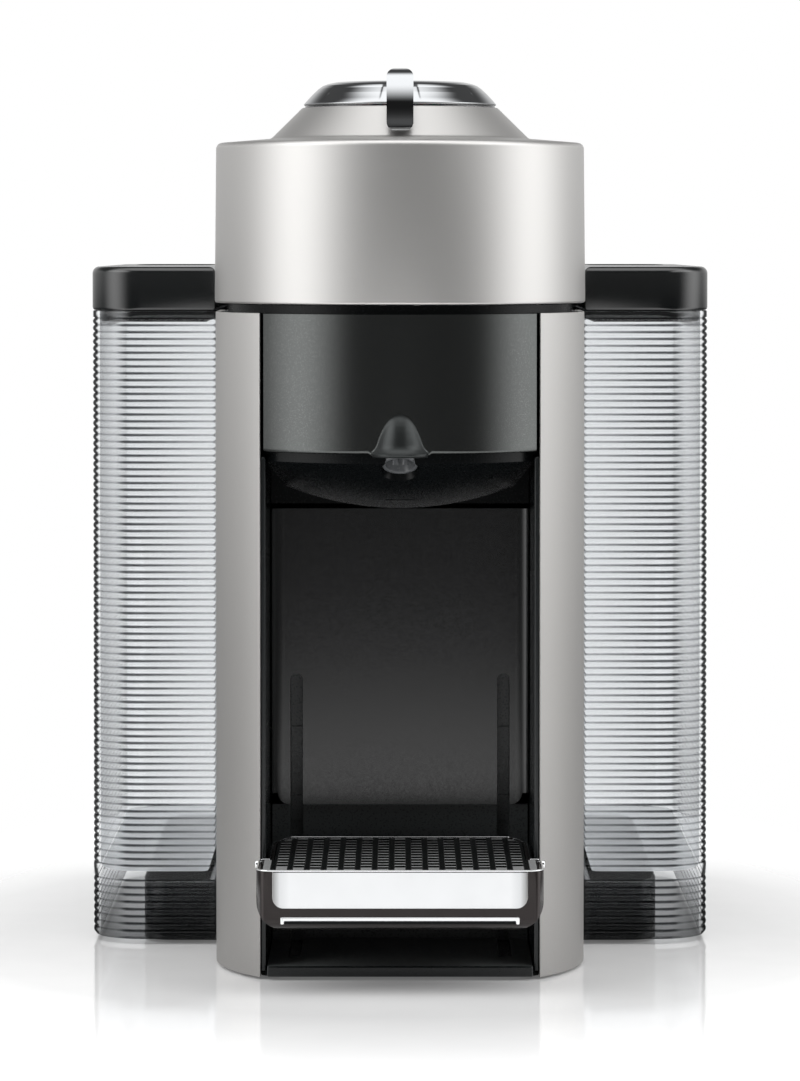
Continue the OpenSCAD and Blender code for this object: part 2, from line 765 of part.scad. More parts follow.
module dock_seal() {
  color([0.7, 0.25, 0.15]) at_axis() translate([dock_x, dock_y, 0])
    rotate_extrude() translate([9.75, 14]) circle(r = 0.75, $fn = 24);
}

module cord_gland() {
  color([0.08, 0.08, 0.08]) at_axis() translate([gland_x, platform_back, gland_z])
    rotate([-90, 0, 0]) difference() {
      union() {
        translate([0, 0, -6]) cylinder(r = gland_r, h = 8);
        translate([0, 0, 2 * eps]) cylinder(r = 8, h = 2);
        translate([0, 0, -5]) cylinder(r = 7.5, h = 2.4);
      }
      translate([0, 0, -7]) cylinder(r = gland_bore, h = 12);
    }
}

module water_pump() {
  color([0.3, 0.32, 0.35]) at_axis() translate([-28, 140, 0]) {
    block([-18, -17, 78], [18, 17, 118]);
    translate([0, 0, 60]) cylinder(r = 11, h = 18.1);
    translate([0, 0, 117.9]) cylinder(r = 11, h = 16);
    translate([0, 0, 133.8]) cylinder(r = 5, h = 12);
    translate([0, 0, 52]) cylinder(r = 4, h = 8.1);
    block([-26, -14, 84], [-17.9, 14, 86]);
  }
}

module flow_meter() {
  color([0.85, 0.85, 0.86]) at_axis() translate([-28, 140, 0]) {
    translate([0, 0, 26]) cylinder(r = 14, h = 12);
    translate([0, 0, 37.9]) cylinder(r = 4, h = 7);
    rotate([0, 90, 0]) translate([-31, 0, 12]) cylinder(r = 3.4, h = 9);
  }
}

module thermoblock() {
  color([0.65, 0.66, 0.67]) at_axis() translate([28, 138, 0]) difference() {
    union() {
      block([-20, -15, 70], [20, 15, 170]);
      for (z = [82:12:160]) block([-22, -17, z], [22, 17, z + 3]);
      translate([0, 0, 169.9]) cylinder(r = 4.5, h = 9);
      translate([-10, 0, 61]) cylinder(r = 4.5, h = 9.1);
      translate([12, 0, 61]) cylinder(r = 3, h = 9.1);
    }
    translate([0, 0, 60]) cylinder(r = 1.6, h = 130);
  }
}

module control_board() {
  color([0.05, 0.32, 0.16]) at_axis() {
    block([-50, 163, 46], [50, 164.6, 206]);
    block([-44, 158.6, 60], [-32, 163.01, 84]);
    block([-20, 158.6, 60], [0, 163.01, 74]);
    for (x = [14, 28]) translate([x, 163.01, 190]) rotate([90, 0, 0]) cylinder(r = 5, h = 7);
    block([-40, 159, 180], [-8, 163.01, 192]);
    block([10, 160, 150], [24, 163.01, 164]);
  }
}

module inlet_hose() {
  color([0.8, 0.8, 0.78]) at_axis() bar(smooth([[dock_x - 13.2, dock_y, 4.4],
    [12, dock_y, 4.6], [6, 196, 5], [2, 186, 6], [0, 176, 7]]), 1.6, [0, 0, 1]);
}

module pump_hose() {
  color([0.8, 0.8, 0.78]) at_axis()
    bar(smooth([[-28, 140, 146], [-28, 140, 156], [-26, 140, 172], [-14, 140, 184], [2, 140, 189],
      [14, 140, 190], [25, 138.5, 190], [28, 138, 185], [28, 138, 179]]), 2.2, [0, 1, 0]);
}

module hot_water_pipe() {
  color([0.8, 0.6, 0.4]) at_axis()
    bar(smooth([[18, 138, 60.8], [18, 137, 52], [22, 130, 46], [46, 126, 50], [53, 124, 70],
      [54, 123, 120], [54, 122, 180], [50, 120, 196], [34, 117, 200], [24, 114, 200], [24, 106, 201],
      [30, 94, 206], [42, 80, 207], [48, 73, 210], [48, 72, 218], [48, 70, 222.8]]),
      1.8, [0.3, 0.2, 1]);
}

// ---- Water tank ----

module tank_plan(inset) {
  difference() {
    polygon(rounded(-tank_x + inset, tank_x - inset, tank_front + inset, tank_back - inset,
      tank_corner - inset, 12));
    polygon(concat([[channel_x + inset, tank_front - 5]],
      arc(channel_x + inset - 8, channel_back + inset - 8, 8, 0, 90, 6),
      arc(-channel_x - inset + 8, channel_back + inset - 8, 8, 90, 180, 6),
      [[-channel_x - inset, tank_front - 5]]));
  }
}

module water_tank() {
  color([0.85, 0.9, 0.92, 0.45]) at_axis() difference() {
    union() {
      translate([0, 0, tank_z]) linear_extrude(deck_z - 0.4 - tank_z) tank_plan(0);
      translate([dock_x, dock_y, 11]) cylinder(r = 9, h = 14);
    }
    difference() {
      translate([0, 0, tank_floor_z + tank_wall]) linear_extrude(deck_z) tank_plan(tank_wall);
      translate([dock_x, dock_y, 0]) {
        translate([0, 0, cage_z]) cylinder(r = 10, h = 2);
        for (a = [0:90:270]) rotate(a) block([8.2, -2, tank_floor_z], [10, 2, cage_z + 1]);
      }
    }
    difference() {
      linear_extrude(tank_floor_z) polygon(rounded(-tank_x + tank_wall,
        tank_x - tank_wall, tank_front + tank_wall, tank_back - tank_wall,
        tank_corner - tank_wall, 12));
      translate([dock_x, dock_y, 10.9]) cylinder(r = 9, h = 30);
    }
    translate([dock_x, dock_y, 0]) cylinder(r = 5, h = 40);
    block([gland_x - 11, tank_back - 6, 0], [gland_x + 11, tank_back + 1, 21]);
  }
}

module tank_valve() {
  color([0.3, 0.32, 0.34]) at_axis() translate([dock_x, dock_y, 0]) {
    translate([0, 0, 8.9]) cylinder(r = 3.2, h = 16.1);
    translate([0, 0, tank_floor_z + tank_wall + 0.05]) cylinder(r = 7.6, h = 2);
    translate([0, 0, tank_floor_z + tank_wall + 2]) cylinder(r = 2.4, h = 5);
  }
}

module valve_spring() {
  turns = 5;
  per_turn = 12;
  z0 = tank_floor_z + tank_wall + 2.6;
  z1 = cage_z - 0.5;
  color([0.8, 0.8, 0.82]) at_axis()
    bar([for (i = [0:turns * per_turn]) let (a = 360 * i / per_turn)
      [dock_x + 4.2 * cos(a), dock_y + 4.2 * sin(a), z0 + (z1 - z0) * i / (turns * per_turn)]],
      0.45, [0, 0, 1], 6);
}

module tank_lid() {
  z0 = deck_z - 0.2;
  color([0.06, 0.07, 0.07]) at_axis() {
    difference() {
      translate([0, 0, z0]) linear_extrude(lid_h) tank_plan(0);
      translate([0, 0, z0 - 1]) linear_extrude(lid_h - 1.4) tank_plan(2.4);
    }
    difference() {
      translate([0, 0, z0 - 4]) linear_extrude(lid_h + 2.5) tank_plan(tank_wall + 0.4);
      translate([0, 0, z0 - 5]) linear_extrude(lid_h + 2) tank_plan(tank_wall + 2);
    }
  }
}

// ---- Capsule container ----

module hook_slots() {
  both_sides() {
    block([slot_x - slot_w / 2, bay_back - 11, -1],
      [slot_x + slot_w / 2, bay_back + slot_deep, slot_top - slot_w / 2]);
    translate([slot_x, bay_back - 11, slot_top - slot_w / 2]) rotate([-90, 0, 0])
      cylinder(r = slot_w / 2, h = 11 + slot_deep);
  }
}

// Plan of the cup bay's wall at y, with its sides turned forward
module recess_plan(y) {
  fillet = 8;
  spread = 35;
  middle = slide_x - fillet * sin(spread);
  translate([-slide_x, y]) square([2 * slide_x, 2.4]);
  both_sides() polygon(concat([[slide_x, y + 1]],
    arc(middle, y - fillet, fillet, 90 - spread, 90, 8), [[middle, y + 1]]));
}

module recess_back() {
  floor_t = 1.4;
  front = -43.2;
  low_y = bay_back + step_y;
  color([0.05, 0.07, 0.07]) at_axis() difference() {
    union() {
      translate([0, 0, step_z]) linear_extrude(recess_z - step_z) recess_plan(bay_back);
      translate([0, 0, container_z]) linear_extrude(step_z + 2 - container_z) recess_plan(low_y);
      both_sides() block([slot_x - 4, low_y, container_z],
        [slot_x + 4, bay_back + slot_deep + 1.5, slot_top + 3]);
      block([-slide_x, front, container_z],
        [slide_x, bay_back + slot_deep + 1.5, container_z + floor_t]);
      block([-slide_x, front, foot_h + 0.2], [slide_x, front + 1.6, container_z + floor_t + 0.2]);
    }
    difference() {
      hook_slots();
      both_sides() for (i = [0:2])
        let (z = hook_z + i * tray_step)
        block([slot_x - slot_w, bay_back + slot_deep - 0.5, z - 9],
          [slot_x + slot_w, bay_back + slot_deep + 2, z - 0.3]);
    }
  }
}

module capsule_bin() {
  t = 1.8;
  color([0.09, 0.1, 0.1]) at_axis() difference() {
    slab(-slide_x, slide_x, bin_front, bin_back, 8, container_z, recess_z - 0.2);
    slab(-slide_x + t, slide_x - t, bin_front + t, bin_back - t, 6.5, container_z + t, recess_z + 1);
  }
}

// ---- Cup support ----

// Plan of the tray: wide in front of the columns, narrow between them
module tray_plan(inset) {
  front = -tray_reach + inset;
  neck = -47;
  back = 10 - inset;
  wide = tray_x - inset;
  narrow = slide_x - 0.5 - inset;
  corner = max(5 - inset, 0.5);
  right = concat(arc(wide - corner, front + corner, corner, -90, 0, 8),
    [[wide, neck - inset], [narrow, neck - inset], [narrow, -6], [narrow - 5, back]]);
  polygon(concat(right, [for (i = [len(right) - 1:-1:0]) [-right[i][0], right[i][1]]]));
}

module drip_tray() {
  t = 1.8;
  belly = 8;
  edge = 12;
  hook_back = bay_back + 5.6;
  color([0.8, 0.8, 0.81]) at_axis() {
    difference() {
      intersection() {
        translate([0, 0, tray_bottom]) linear_extrude(tray_h) tray_plan(0);
        profile_x(-60, 60) polygon(concat([[20, tray_bottom], [20, tray_z + 1], [-tray_reach, tray_z + 1]],
          arc(-tray_reach + belly, tray_bottom + belly, belly, 180, 270, 8)));
        translate([0, 40, 0]) rotate([90, 0, 0]) linear_extrude(130) polygon(concat(
          arc(tray_x - edge, tray_bottom + edge, edge, -90, 0, 8),
          [[tray_x, tray_z + 1], [-tray_x, tray_z + 1]],
          arc(-tray_x + edge, tray_bottom + edge, edge, 180, 270, 8)));
      }
      translate([0, 0, tray_z - 2.65]) linear_extrude(8) tray_plan(t);
      translate([0, 0, tray_z - 12.6]) linear_extrude(20) tray_plan(t + 1.6);
      translate([0, 0, tray_z - 16]) linear_extrude(20) tray_plan(t + 8);
    }
    both_sides() {
      profile_x(slot_x - 1.7, slot_x + 1.7) polygon([[9, tray_z - 5], [9, tray_z - 1],
        [hook_back - 1.2, tray_z - 1], [hook_back, tray_z - 2.2], [hook_back, hook_z],
        [hook_back - 2.6, hook_z], [hook_back - 2.6, tray_z - 5]]);
      rod_x(45, 47.4, -52, tray_z - 3, 1.3);
    }
  }
}

module drip_grid() {
  t = 2.1;
  pitch_x = 82 / grid_columns;
  pitch_y = 78 / grid_rows;
  hole = [pitch_x - 1.9, pitch_y - 2];
  color([0.03, 0.03, 0.03]) at_axis() difference() {
    translate([0, 0, tray_z - 2.6]) linear_extrude(2.4) tray_plan(t);
    for (i = [0:grid_columns - 1], j = [0:grid_rows - 1])
      let (x = (i + 0.5) * pitch_x - 41, y = -tray_reach + 4.6 + j * pitch_y + (i % 2) * pitch_y / 2)
      if (!(j == grid_rows - 1 && (i % 2 == 1 || i < 2 || i > grid_columns - 3))
        && !(j == 0 && (i < 1 || i > grid_columns - 2)))
        block([x - hole[0] / 2, y, tray_z - 3.6], [x + hole[0] / 2, y + hole[1], tray_z + 1]);
  }
}

// ---- Nodes ----

base_pan();
rubber_feet();
left_column();
right_column();
left_liner();
right_liner();
left_side_panel();
right_side_panel();
rear_cover();
rear_deck();
bulkhead();
brew_deck();
brew_bowl();
front_panel();
coffee_nozzle();
flow_straightener();
collector_ring();
holder_bearing();
ejection_chute();
hinge_bracket();
hinge_pin();
hinge_damper();
water_swivel();
tank_dock();
dock_seal();
cord_gland();
water_pump();
flow_meter();
thermoblock();
control_board();
inlet_hose();
pump_hose();
hot_water_pipe();
head_switch();
latch_keeper();
capsule_holder();
head_cover();
head_base_plate();
head_knuckle();
spin_motor();
motor_bracket();
rotor_bearing();
head_water_tube();
top_plate();
button_board();
light_ring();
lever_pins();
injector_rotor();
injector_seal();
lever();
brew_button();
latch_hook();
water_tank();
valve_spring();
tank_valve();
tank_lid();
recess_back();
capsule_bin();
drip_tray();
drip_grid();
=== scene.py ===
"""Looks of the pod coffee machine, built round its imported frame.

Shapes are worked out in millimetres about the head's axis, and build() turns them into metres in the frame.
"""

import json
import math

import bmesh
import bpy
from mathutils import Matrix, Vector


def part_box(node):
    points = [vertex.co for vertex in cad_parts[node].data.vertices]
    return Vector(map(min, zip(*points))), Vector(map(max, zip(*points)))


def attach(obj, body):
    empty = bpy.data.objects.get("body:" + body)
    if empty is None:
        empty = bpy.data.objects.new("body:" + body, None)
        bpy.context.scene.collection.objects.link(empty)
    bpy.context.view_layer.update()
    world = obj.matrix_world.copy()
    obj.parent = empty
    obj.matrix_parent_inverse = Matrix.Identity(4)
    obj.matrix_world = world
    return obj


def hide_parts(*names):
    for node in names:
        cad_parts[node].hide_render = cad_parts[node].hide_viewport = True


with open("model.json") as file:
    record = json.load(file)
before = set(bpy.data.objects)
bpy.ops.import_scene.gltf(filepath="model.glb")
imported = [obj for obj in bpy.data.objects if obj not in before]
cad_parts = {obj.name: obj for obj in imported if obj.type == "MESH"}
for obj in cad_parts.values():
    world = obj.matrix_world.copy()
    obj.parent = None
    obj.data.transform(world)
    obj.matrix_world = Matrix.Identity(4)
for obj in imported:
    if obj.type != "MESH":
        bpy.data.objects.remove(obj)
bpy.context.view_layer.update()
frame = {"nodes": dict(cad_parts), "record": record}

MM = 0.001
MICRON = 0.000001
HEAD_LOW, HEAD_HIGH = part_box("head_cover")
AXIS_Y = HEAD_LOW.y + HEAD_HIGH.x


def place(node):
    """Lowest and highest corner of a CAD node, in millimetres about the head's axis."""
    low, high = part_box(node)
    shift = Vector((0, AXIS_Y, 0))
    return (low - shift) / MM, (high - shift) / MM


# ---- Materials ----


class Tree:
    """A node tree, with the few kinds of node that the materials and the light share."""

    def __init__(self, owner):
        owner.use_nodes = True
        self.tree = owner.node_tree

    def add(self, kind):
        return self.tree.nodes.new("ShaderNode" + kind)

    def link(self, output, socket):
        self.tree.links.new(output, socket)

    def maths(self, operation, *values, kind="Math"):
        node = self.add(kind)
        node.operation = operation
        for socket, value in zip(node.inputs, values):
            if isinstance(value, (int, float)):
                socket.default_value = value
            else:
                self.link(value, socket)
        return node.outputs[0]

    def span(self, factor, low, high, start=0.3, end=0.7):
        """A value that goes from low to high while the factor goes from start to end."""
        span = self.add("MapRange")
        for name, value in (("From Min", start), ("From Max", end), ("To Min", low), ("To Max", high)):
            span.inputs[name].default_value = value
        self.link(factor, span.inputs["Value"])
        return span.outputs["Result"]

    def mix(self, factor, first, second):
        mix = self.add("MixShader")
        for socket, output in zip(mix.inputs, (factor, first, second)):
            self.link(output, socket)
        return mix.outputs["Shader"]


class Nodes(Tree):
    """A material's node tree."""

    def __init__(self, name):
        self.material = bpy.data.materials.new(name)
        super().__init__(self.material)
        self.shader = self.tree.nodes["Principled BSDF"]
        self.place = self.add("TexCoord").outputs["Object"]

    def link(self, output, socket):
        """Links to a socket, or to the shader's socket of that name."""
        super().link(output, self.shader.inputs[socket] if isinstance(socket, str) else socket)

    def set(self, **values):
        for name, value in values.items():
            self.shader.inputs[name.replace("_", " ")].default_value = value

    def noise(self, scale, detail=3.0, stretch=(1, 1, 1)):
        mapping = self.add("Mapping")
        mapping.inputs["Scale"].default_value = stretch
        self.link(self.place, mapping.inputs["Vector"])
        noise = self.add("TexNoise")
        noise.inputs["Scale"].default_value = scale
        noise.inputs["Detail"].default_value = detail
        self.link(mapping.outputs["Vector"], noise.inputs["Vector"])
        return noise.outputs["Fac"]

    def cells(self, scale):
        cells = self.add("TexVoronoi")
        cells.inputs["Scale"].default_value = scale
        self.link(self.place, cells.inputs["Vector"])
        grey = self.add("SeparateColor")
        self.link(cells.outputs["Color"], grey.inputs["Color"])
        return grey.outputs["Red"]

    def ramp(self, factor, stops):
        """Colours, or grey levels, at places along a factor."""
        ramp = self.add("ValToRGB")
        elements = ramp.color_ramp.elements
        while len(elements) < len(stops):
            elements.new(0.5)
        for element, (position, colour) in zip(elements, stops):
            element.position = position
            element.color = (*colour, 1) if isinstance(colour, tuple) else (colour, colour, colour, 1)
        self.link(factor, ramp.inputs["Fac"])
        return ramp.outputs["Color"]

    def axis(self, name, vector=None):
        """One coordinate of a vector, or of the place on the object."""
        split = self.add("SeparateXYZ")
        self.link(self.place if vector is None else vector, split.inputs[0])
        return split.outputs[name]

    def weight(self, blend, output):
        """The Fresnel share of a surface, or how far it turns away."""
        weight = self.add("LayerWeight")
        weight.inputs["Blend"].default_value = blend
        return weight.outputs[output]

    def clear(self, tint):
        """A see-through shader, tinted by a colour or by a node."""
        clear = self.add("BsdfTransparent")
        if isinstance(tint, tuple):
            clear.inputs["Color"].default_value = (*tint, 1)
        else:
            self.link(tint, clear.inputs["Color"])
        return clear.outputs["BSDF"]

    def surface(self, shader):
        self.link(shader, self.tree.nodes["Material Output"].inputs["Surface"])

    def bump(self, height, distance):
        bump = self.add("Bump")
        bump.inputs["Distance"].default_value = distance
        bump.inputs["Strength"].default_value = 1.0
        self.link(height, bump.inputs["Height"])
        self.link(bump.outputs["Normal"], "Normal")

    def grain(self, scale, low, high, relief, stretch=(1, 1, 1)):
        """Fine grain, whose roughness lies between low and high, and which stands up by relief."""
        fine = self.noise(scale, 3.0, stretch)
        self.link(self.span(fine, low, high), "Roughness")
        self.bump(fine, relief)
        return fine


def finish_of(name, colour, rough, metal=0.0, spread=0.06, grain=900.0, relief=0.00002, rough_spread=0.06,
              stretch=(1, 1, 1), flakes=0.0, **values):
    """A plain finish with fine grain, slow changes of tone and gloss, and metallic flakes if asked for."""
    nodes = Nodes(name)
    nodes.set(Metallic=metal, **values)
    darker, paler = (tuple(c * factor for c in colour) for factor in (1 - spread, 1 + spread))
    tone = nodes.ramp(nodes.noise(18.0, 4.0), [(0.25, darker), (0.75, paler)])
    if flakes:
        mix = nodes.add("Mix")
        mix.data_type = "RGBA"
        nodes.link(nodes.span(nodes.cells(4200.0), 0.0, flakes, 0.80, 1.0), mix.inputs["Factor"])
        nodes.link(tone, mix.inputs["A"])
        mix.inputs["B"].default_value = (0.75, 0.75, 0.74, 1)
        tone = mix.outputs["Result"]
    nodes.link(tone, "Base Color")
    nodes.grain(grain, rough - rough_spread, rough + rough_spread, relief, stretch)
    return nodes.material


def clear_plastic():
    """Clear walls seen without refraction: steep flanks look dark, and the light shines on their faces.
    Painted light and shade: a highlight band across the sides, a dark edge at the outline, shade towards the
    foot, and reflections dimmed below the floor.
    """
    nodes = Nodes("clear_plastic")
    nodes.set(Metallic=1.0, Base_Color=(0.96, 0.97, 0.98, 1))
    nodes.grain(60.0, 0.05, 0.12, 0.000004)
    geometry = nodes.add("NewGeometry")
    slope = nodes.maths("ABSOLUTE", nodes.axis("Z", geometry.outputs["Normal"]))
    side = nodes.maths("ABSOLUTE", nodes.axis("X"))
    height = nodes.axis("Z")

    # painted light: how dark the rib flanks turn changes across the tank, lighter towards the column and in a
    # band at the corner as a painted highlight
    strength = nodes.ramp(nodes.span(side, 0.0, 1.0, 0.060, 0.108),
                          [(0.05, 0.74), (0.72, 1.02), (0.80, 0.70), (0.92, 0.74), (0.98, 1.04)])
    flanks = nodes.ramp(nodes.maths("MULTIPLY", slope, strength),
                        [(0.42, (0.88, 0.89, 0.90)), (0.60, (0.42, 0.43, 0.44)), (0.70, (0.09, 0.095, 0.10)),
                         (0.90, (0.12, 0.125, 0.13))])
    # painted shade: a dark band where the wall turns away from view
    painted_edge_band = nodes.ramp(nodes.weight(0.5, "Facing"), [(0.58, 1.0), (0.68, 0.05), (0.84, 0.05), (0.93, 1.0)])
    # painted dark edge: the band is used only at the tank's outline
    outline = nodes.maths("MAXIMUM", painted_edge_band, nodes.span(side, 1.0, 0.0, 0.1044, 0.1050))
    # painted shade, darker towards the tank's foot
    foot = nodes.ramp(nodes.span(height, 0.0, 1.0, 0.0, 0.0224),
                      [(0.0, 0.30), (0.5, 0.66), (0.88, 0.90), (1.0, 1.0)])
    tint = flanks
    for shadow in (outline, foot):
        tint = nodes.maths("MULTIPLY", tint, shadow, kind="VectorMath")

    # painted shade: the reflection is dropped at the outline and dimmed below the tank's floor
    shine = nodes.maths("MAXIMUM", nodes.weight(0.32, "Fresnel"), nodes.span(slope, 0.0, 0.85, 0.93, 0.98))
    for shadow in (outline, nodes.span(height, 0.25, 1.0, 0.0205, 0.0215)):
        shine = nodes.maths("MULTIPLY", shine, shadow)
    outside = nodes.mix(shine, nodes.clear(tint), nodes.shader.outputs["BSDF"])
    inside = nodes.clear((0.985, 0.988, 0.99))
    nodes.surface(nodes.mix(geometry.outputs["Backfacing"], outside, inside))
    return nodes.material


def frosted_plastic_painted_glow():
    """Clear plastic with a matt face, which hides part of what lies behind, and a painted glow from its
    emission.
    """
    nodes = Nodes("frosted_plastic_painted_glow")
    # painted light: a faint emission stands in for light scattered inside the plastic
    nodes.set(Emission_Color=(0.95, 0.97, 1.0, 1), Emission_Strength=0.17)
    haze = nodes.grain(90.0, 0.35, 0.45, 0.00001)
    nodes.link(nodes.ramp(haze, [(0.3, (0.76, 0.78, 0.80)), (0.7, (0.84, 0.85, 0.86))]), "Base Color")
    cover = nodes.span(haze, 0.72, 0.82)
    nodes.surface(nodes.mix(cover, nodes.clear((0.93, 0.94, 0.95)), nodes.shader.outputs["BSDF"]))
    return nodes.material


def green_board():
    """Green lacquer with copper tracks."""
    nodes = Nodes("green_board")
    tracks = nodes.add("TexBrick")
    tracks.inputs["Scale"].default_value = 160.0
    tracks.inputs["Mortar Size"].default_value = 0.03
    tracks.inputs["Color1"].default_value = (0.012, 0.12, 0.05, 1)
    tracks.inputs["Color2"].default_value = (0.02, 0.17, 0.07, 1)
    tracks.inputs["Mortar"].default_value = (0.5, 0.4, 0.16, 1)
    nodes.link(nodes.place, tracks.inputs["Vector"])
    nodes.link(tracks.outputs["Color"], "Base Color")
    nodes.link(nodes.span(nodes.noise(400.0), 0.3, 0.5), "Roughness")
    nodes.bump(tracks.outputs["Fac"], 0.00003)
    return nodes.material


def face_chrome_shaded_ends():
    """Chrome of the tray's face, with painted shade that deepens its tone towards its two ends, in place of
    the reflection there.
    """
    nodes = Nodes("face_chrome_shaded_ends")
    nodes.set(Metallic=1.0)
    nodes.grain(120.0, 0.07, 0.13, 0.000001)
    # painted shade: the base colour darkens towards both ends of the face
    end = nodes.span(nodes.maths("ABSOLUTE", nodes.axis("X")), 0.0, 1.0, 0.0355, 0.0415)
    nodes.link(nodes.ramp(end, [(0.0, (0.76, 0.77, 0.78)), (0.55, (0.64, 0.65, 0.66)),
                                (1.0, (0.16, 0.155, 0.15))]), "Base Color")
    return nodes.material


def side_silver_painted_shade():
    """The column covers' paint, with painted shade that makes it a little deeper in tone towards the table.
    """
    nodes = Nodes("side_silver_painted_shade")
    nodes.set(Metallic=1.0)
    nodes.grain(2600.0, 0.53, 0.59, 0.000005)
    # painted shade: the base colour darkens towards the table
    height = nodes.span(nodes.axis("Z"), 0.0, 1.0, 0.0, 0.22)
    nodes.link(nodes.ramp(height, [(0.0, (0.335, 0.328, 0.32)), (0.5, (0.42, 0.412, 0.402)),
                                   (1.0, (0.56, 0.552, 0.54))]), "Base Color")
    return nodes.material


def grid_black():
    """Black webs, with painted light: the up-facing bars between the holes of each column of the drip grid
    are paler, as if lit from above.
    """
    nodes = Nodes("grid_black")
    nodes.grain(1200.0, 0.18, 0.26, 0.000003)
    columns, width = 15, 0.082
    column = nodes.span(nodes.axis("X"), 0.5, columns + 0.5, -width / 2, width / 2)
    column.node.clamp = False
    across = nodes.maths("PINGPONG", column, 0.5)
    upright = nodes.axis("Z", nodes.add("NewGeometry").outputs["Normal"])
    # painted light: up-facing faces within each column's band are paler, as if lit from above
    lit_rung_mask = nodes.maths("MULTIPLY", nodes.ramp(across, [(0.30, 1.0), (0.35, 0.0)]),
                        nodes.ramp(upright, [(0.4, 0.0), (0.8, 1.0)]))
    nodes.link(nodes.ramp(lit_rung_mask, [(0.0, (0.005, 0.006, 0.006)), (1.0, (0.30, 0.305, 0.305))]), "Base Color")
    return nodes.material


FINISHES = {
    "silver_shell": dict(colour=(0.60, 0.592, 0.58), rough=0.46, metal=1.0, spread=0.01, grain=2600.0,
                         relief=0.000005, rough_spread=0.02, flakes=0.04),
    "bright_chrome": dict(colour=(0.86, 0.87, 0.88), rough=0.055, metal=1.0, spread=0.015, grain=120.0,
                          relief=0.000002, rough_spread=0.025),
    # painted shade: a darker copy of the bright chrome, so that the lever's reflections come out dimmer
    "shaded_lever_chrome": dict(colour=(0.42, 0.43, 0.44), rough=0.05, metal=1.0, spread=0.02, grain=120.0,
                         relief=0.000001, rough_spread=0.02),
    "dark_trim": dict(colour=(0.025, 0.0205, 0.0198), rough=0.16, metal=0.6, spread=0.06, grain=200.0,
                      relief=0.000002, rough_spread=0.05),
    "charcoal_panel": dict(colour=(0.088, 0.0925, 0.0905), rough=0.24, metal=1.0, spread=0.03, grain=2400.0,
                           relief=0.000005, rough_spread=0.02, flakes=0.05),
    "nose_grey": dict(colour=(0.030, 0.033, 0.033), rough=0.34, metal=0.7, spread=0.05, grain=2400.0,
                      relief=0.000005, rough_spread=0.03),
    "black_plastic": dict(colour=(0.0085, 0.0105, 0.011), rough=0.24, spread=0.12, grain=1500.0,
                          relief=0.000008, rough_spread=0.04),
    "matt_black": dict(colour=(0.058, 0.064, 0.065), rough=0.30, spread=0.1, grain=1500.0, relief=0.00001),
    # painted shade: a darker, less glossy copy of the black plastic, for the bowl's underside, the brew deck
    # and the tray's slot
    "shade_black": dict(colour=(0.0035, 0.0042, 0.0045), rough=0.26, spread=0.1, grain=1500.0,
                       relief=0.000002, rough_spread=0.03, Specular_IOR_Level=0.14),
    "satin_black": dict(colour=(0.006, 0.0072, 0.0074), rough=0.18, spread=0.1, grain=1500.0,
                        relief=0.000004, rough_spread=0.03, Specular_IOR_Level=0.80),
    # painted light: a paler copy of the bay's black, for the floor's top faces
    "bay_floor_painted_light": dict(colour=(0.15, 0.162, 0.162), rough=0.34, spread=0.08, grain=1500.0, relief=0.000006),
    "gloss_black": dict(colour=(0.010, 0.010, 0.011), rough=0.10, spread=0.1, grain=300.0, relief=0.000002,
                        rough_spread=0.04, Coat_Weight=0.5, Coat_Roughness=0.04),
    "grey_plastic": dict(colour=(0.10, 0.105, 0.11), rough=0.22, spread=0.08, grain=1200.0, relief=0.00001),
    "light_diffuser": dict(colour=(0.80, 0.83, 0.86), rough=0.28, spread=0.04, grain=500.0, relief=0.00001,
                           Subsurface_Weight=0.3, Subsurface_Scale=0.004),
    "steel": dict(colour=(0.56, 0.56, 0.57), rough=0.24, metal=1.0, spread=0.05, grain=700.0,
                  relief=0.000008, stretch=(1, 1, 12)),
    "cast_aluminium": dict(colour=(0.56, 0.57, 0.58), rough=0.46, metal=1.0, spread=0.09, grain=650.0,
                           relief=0.00008),
    "brass": dict(colour=(0.72, 0.53, 0.25), rough=0.25, metal=1.0, spread=0.08, grain=500.0, relief=0.00001),
    "rubber": dict(colour=(0.022, 0.022, 0.023), rough=0.72, spread=0.2, grain=900.0, relief=0.00006),
    "silicone": dict(colour=(0.50, 0.15, 0.07), rough=0.5, spread=0.1, grain=600.0, relief=0.00003),
    "hose": dict(colour=(0.62, 0.62, 0.58), rough=0.35, spread=0.08, grain=400.0, relief=0.00002,
                 Subsurface_Weight=0.25, Subsurface_Scale=0.003),
    "pump_case": dict(colour=(0.055, 0.06, 0.07), rough=0.42, spread=0.15, grain=1000.0, relief=0.00004),
}
MATERIALS = {name: finish_of(name, **finish) for name, finish in FINISHES.items()}
for make in (clear_plastic, frosted_plastic_painted_glow, green_board, face_chrome_shaded_ends, side_silver_painted_shade, grid_black):
    MATERIALS[make.__name__] = make()


# ---- Mesh making ----


def build(name, shape, body, slot, nodes=(), finish=None, angle=32):
    """A piece from (points, faces) in millimetres about the head's axis, in the slot's finish or another."""
    points, faces = shape
    mesh = bpy.data.meshes.new(name)
    mesh.from_pydata([(x * MM, y * MM + AXIS_Y, z * MM) for x, y, z in points], [], faces)
    work = bmesh.new()
    work.from_mesh(mesh)
    bmesh.ops.remove_doubles(work, verts=work.verts, dist=2 * MICRON)
    bmesh.ops.dissolve_degenerate(work, edges=work.edges, dist=MICRON)
    bmesh.ops.recalc_face_normals(work, faces=work.faces)
    work.to_mesh(mesh)
    work.free()
    obj = bpy.data.objects.new(name, mesh)
    bpy.context.scene.collection.objects.link(obj)
    if body:
        mesh.materials.append(MATERIALS[finish or slot])
        smooth(mesh, angle)
        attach(obj, body)
    if nodes:
        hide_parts(*nodes)
    return obj


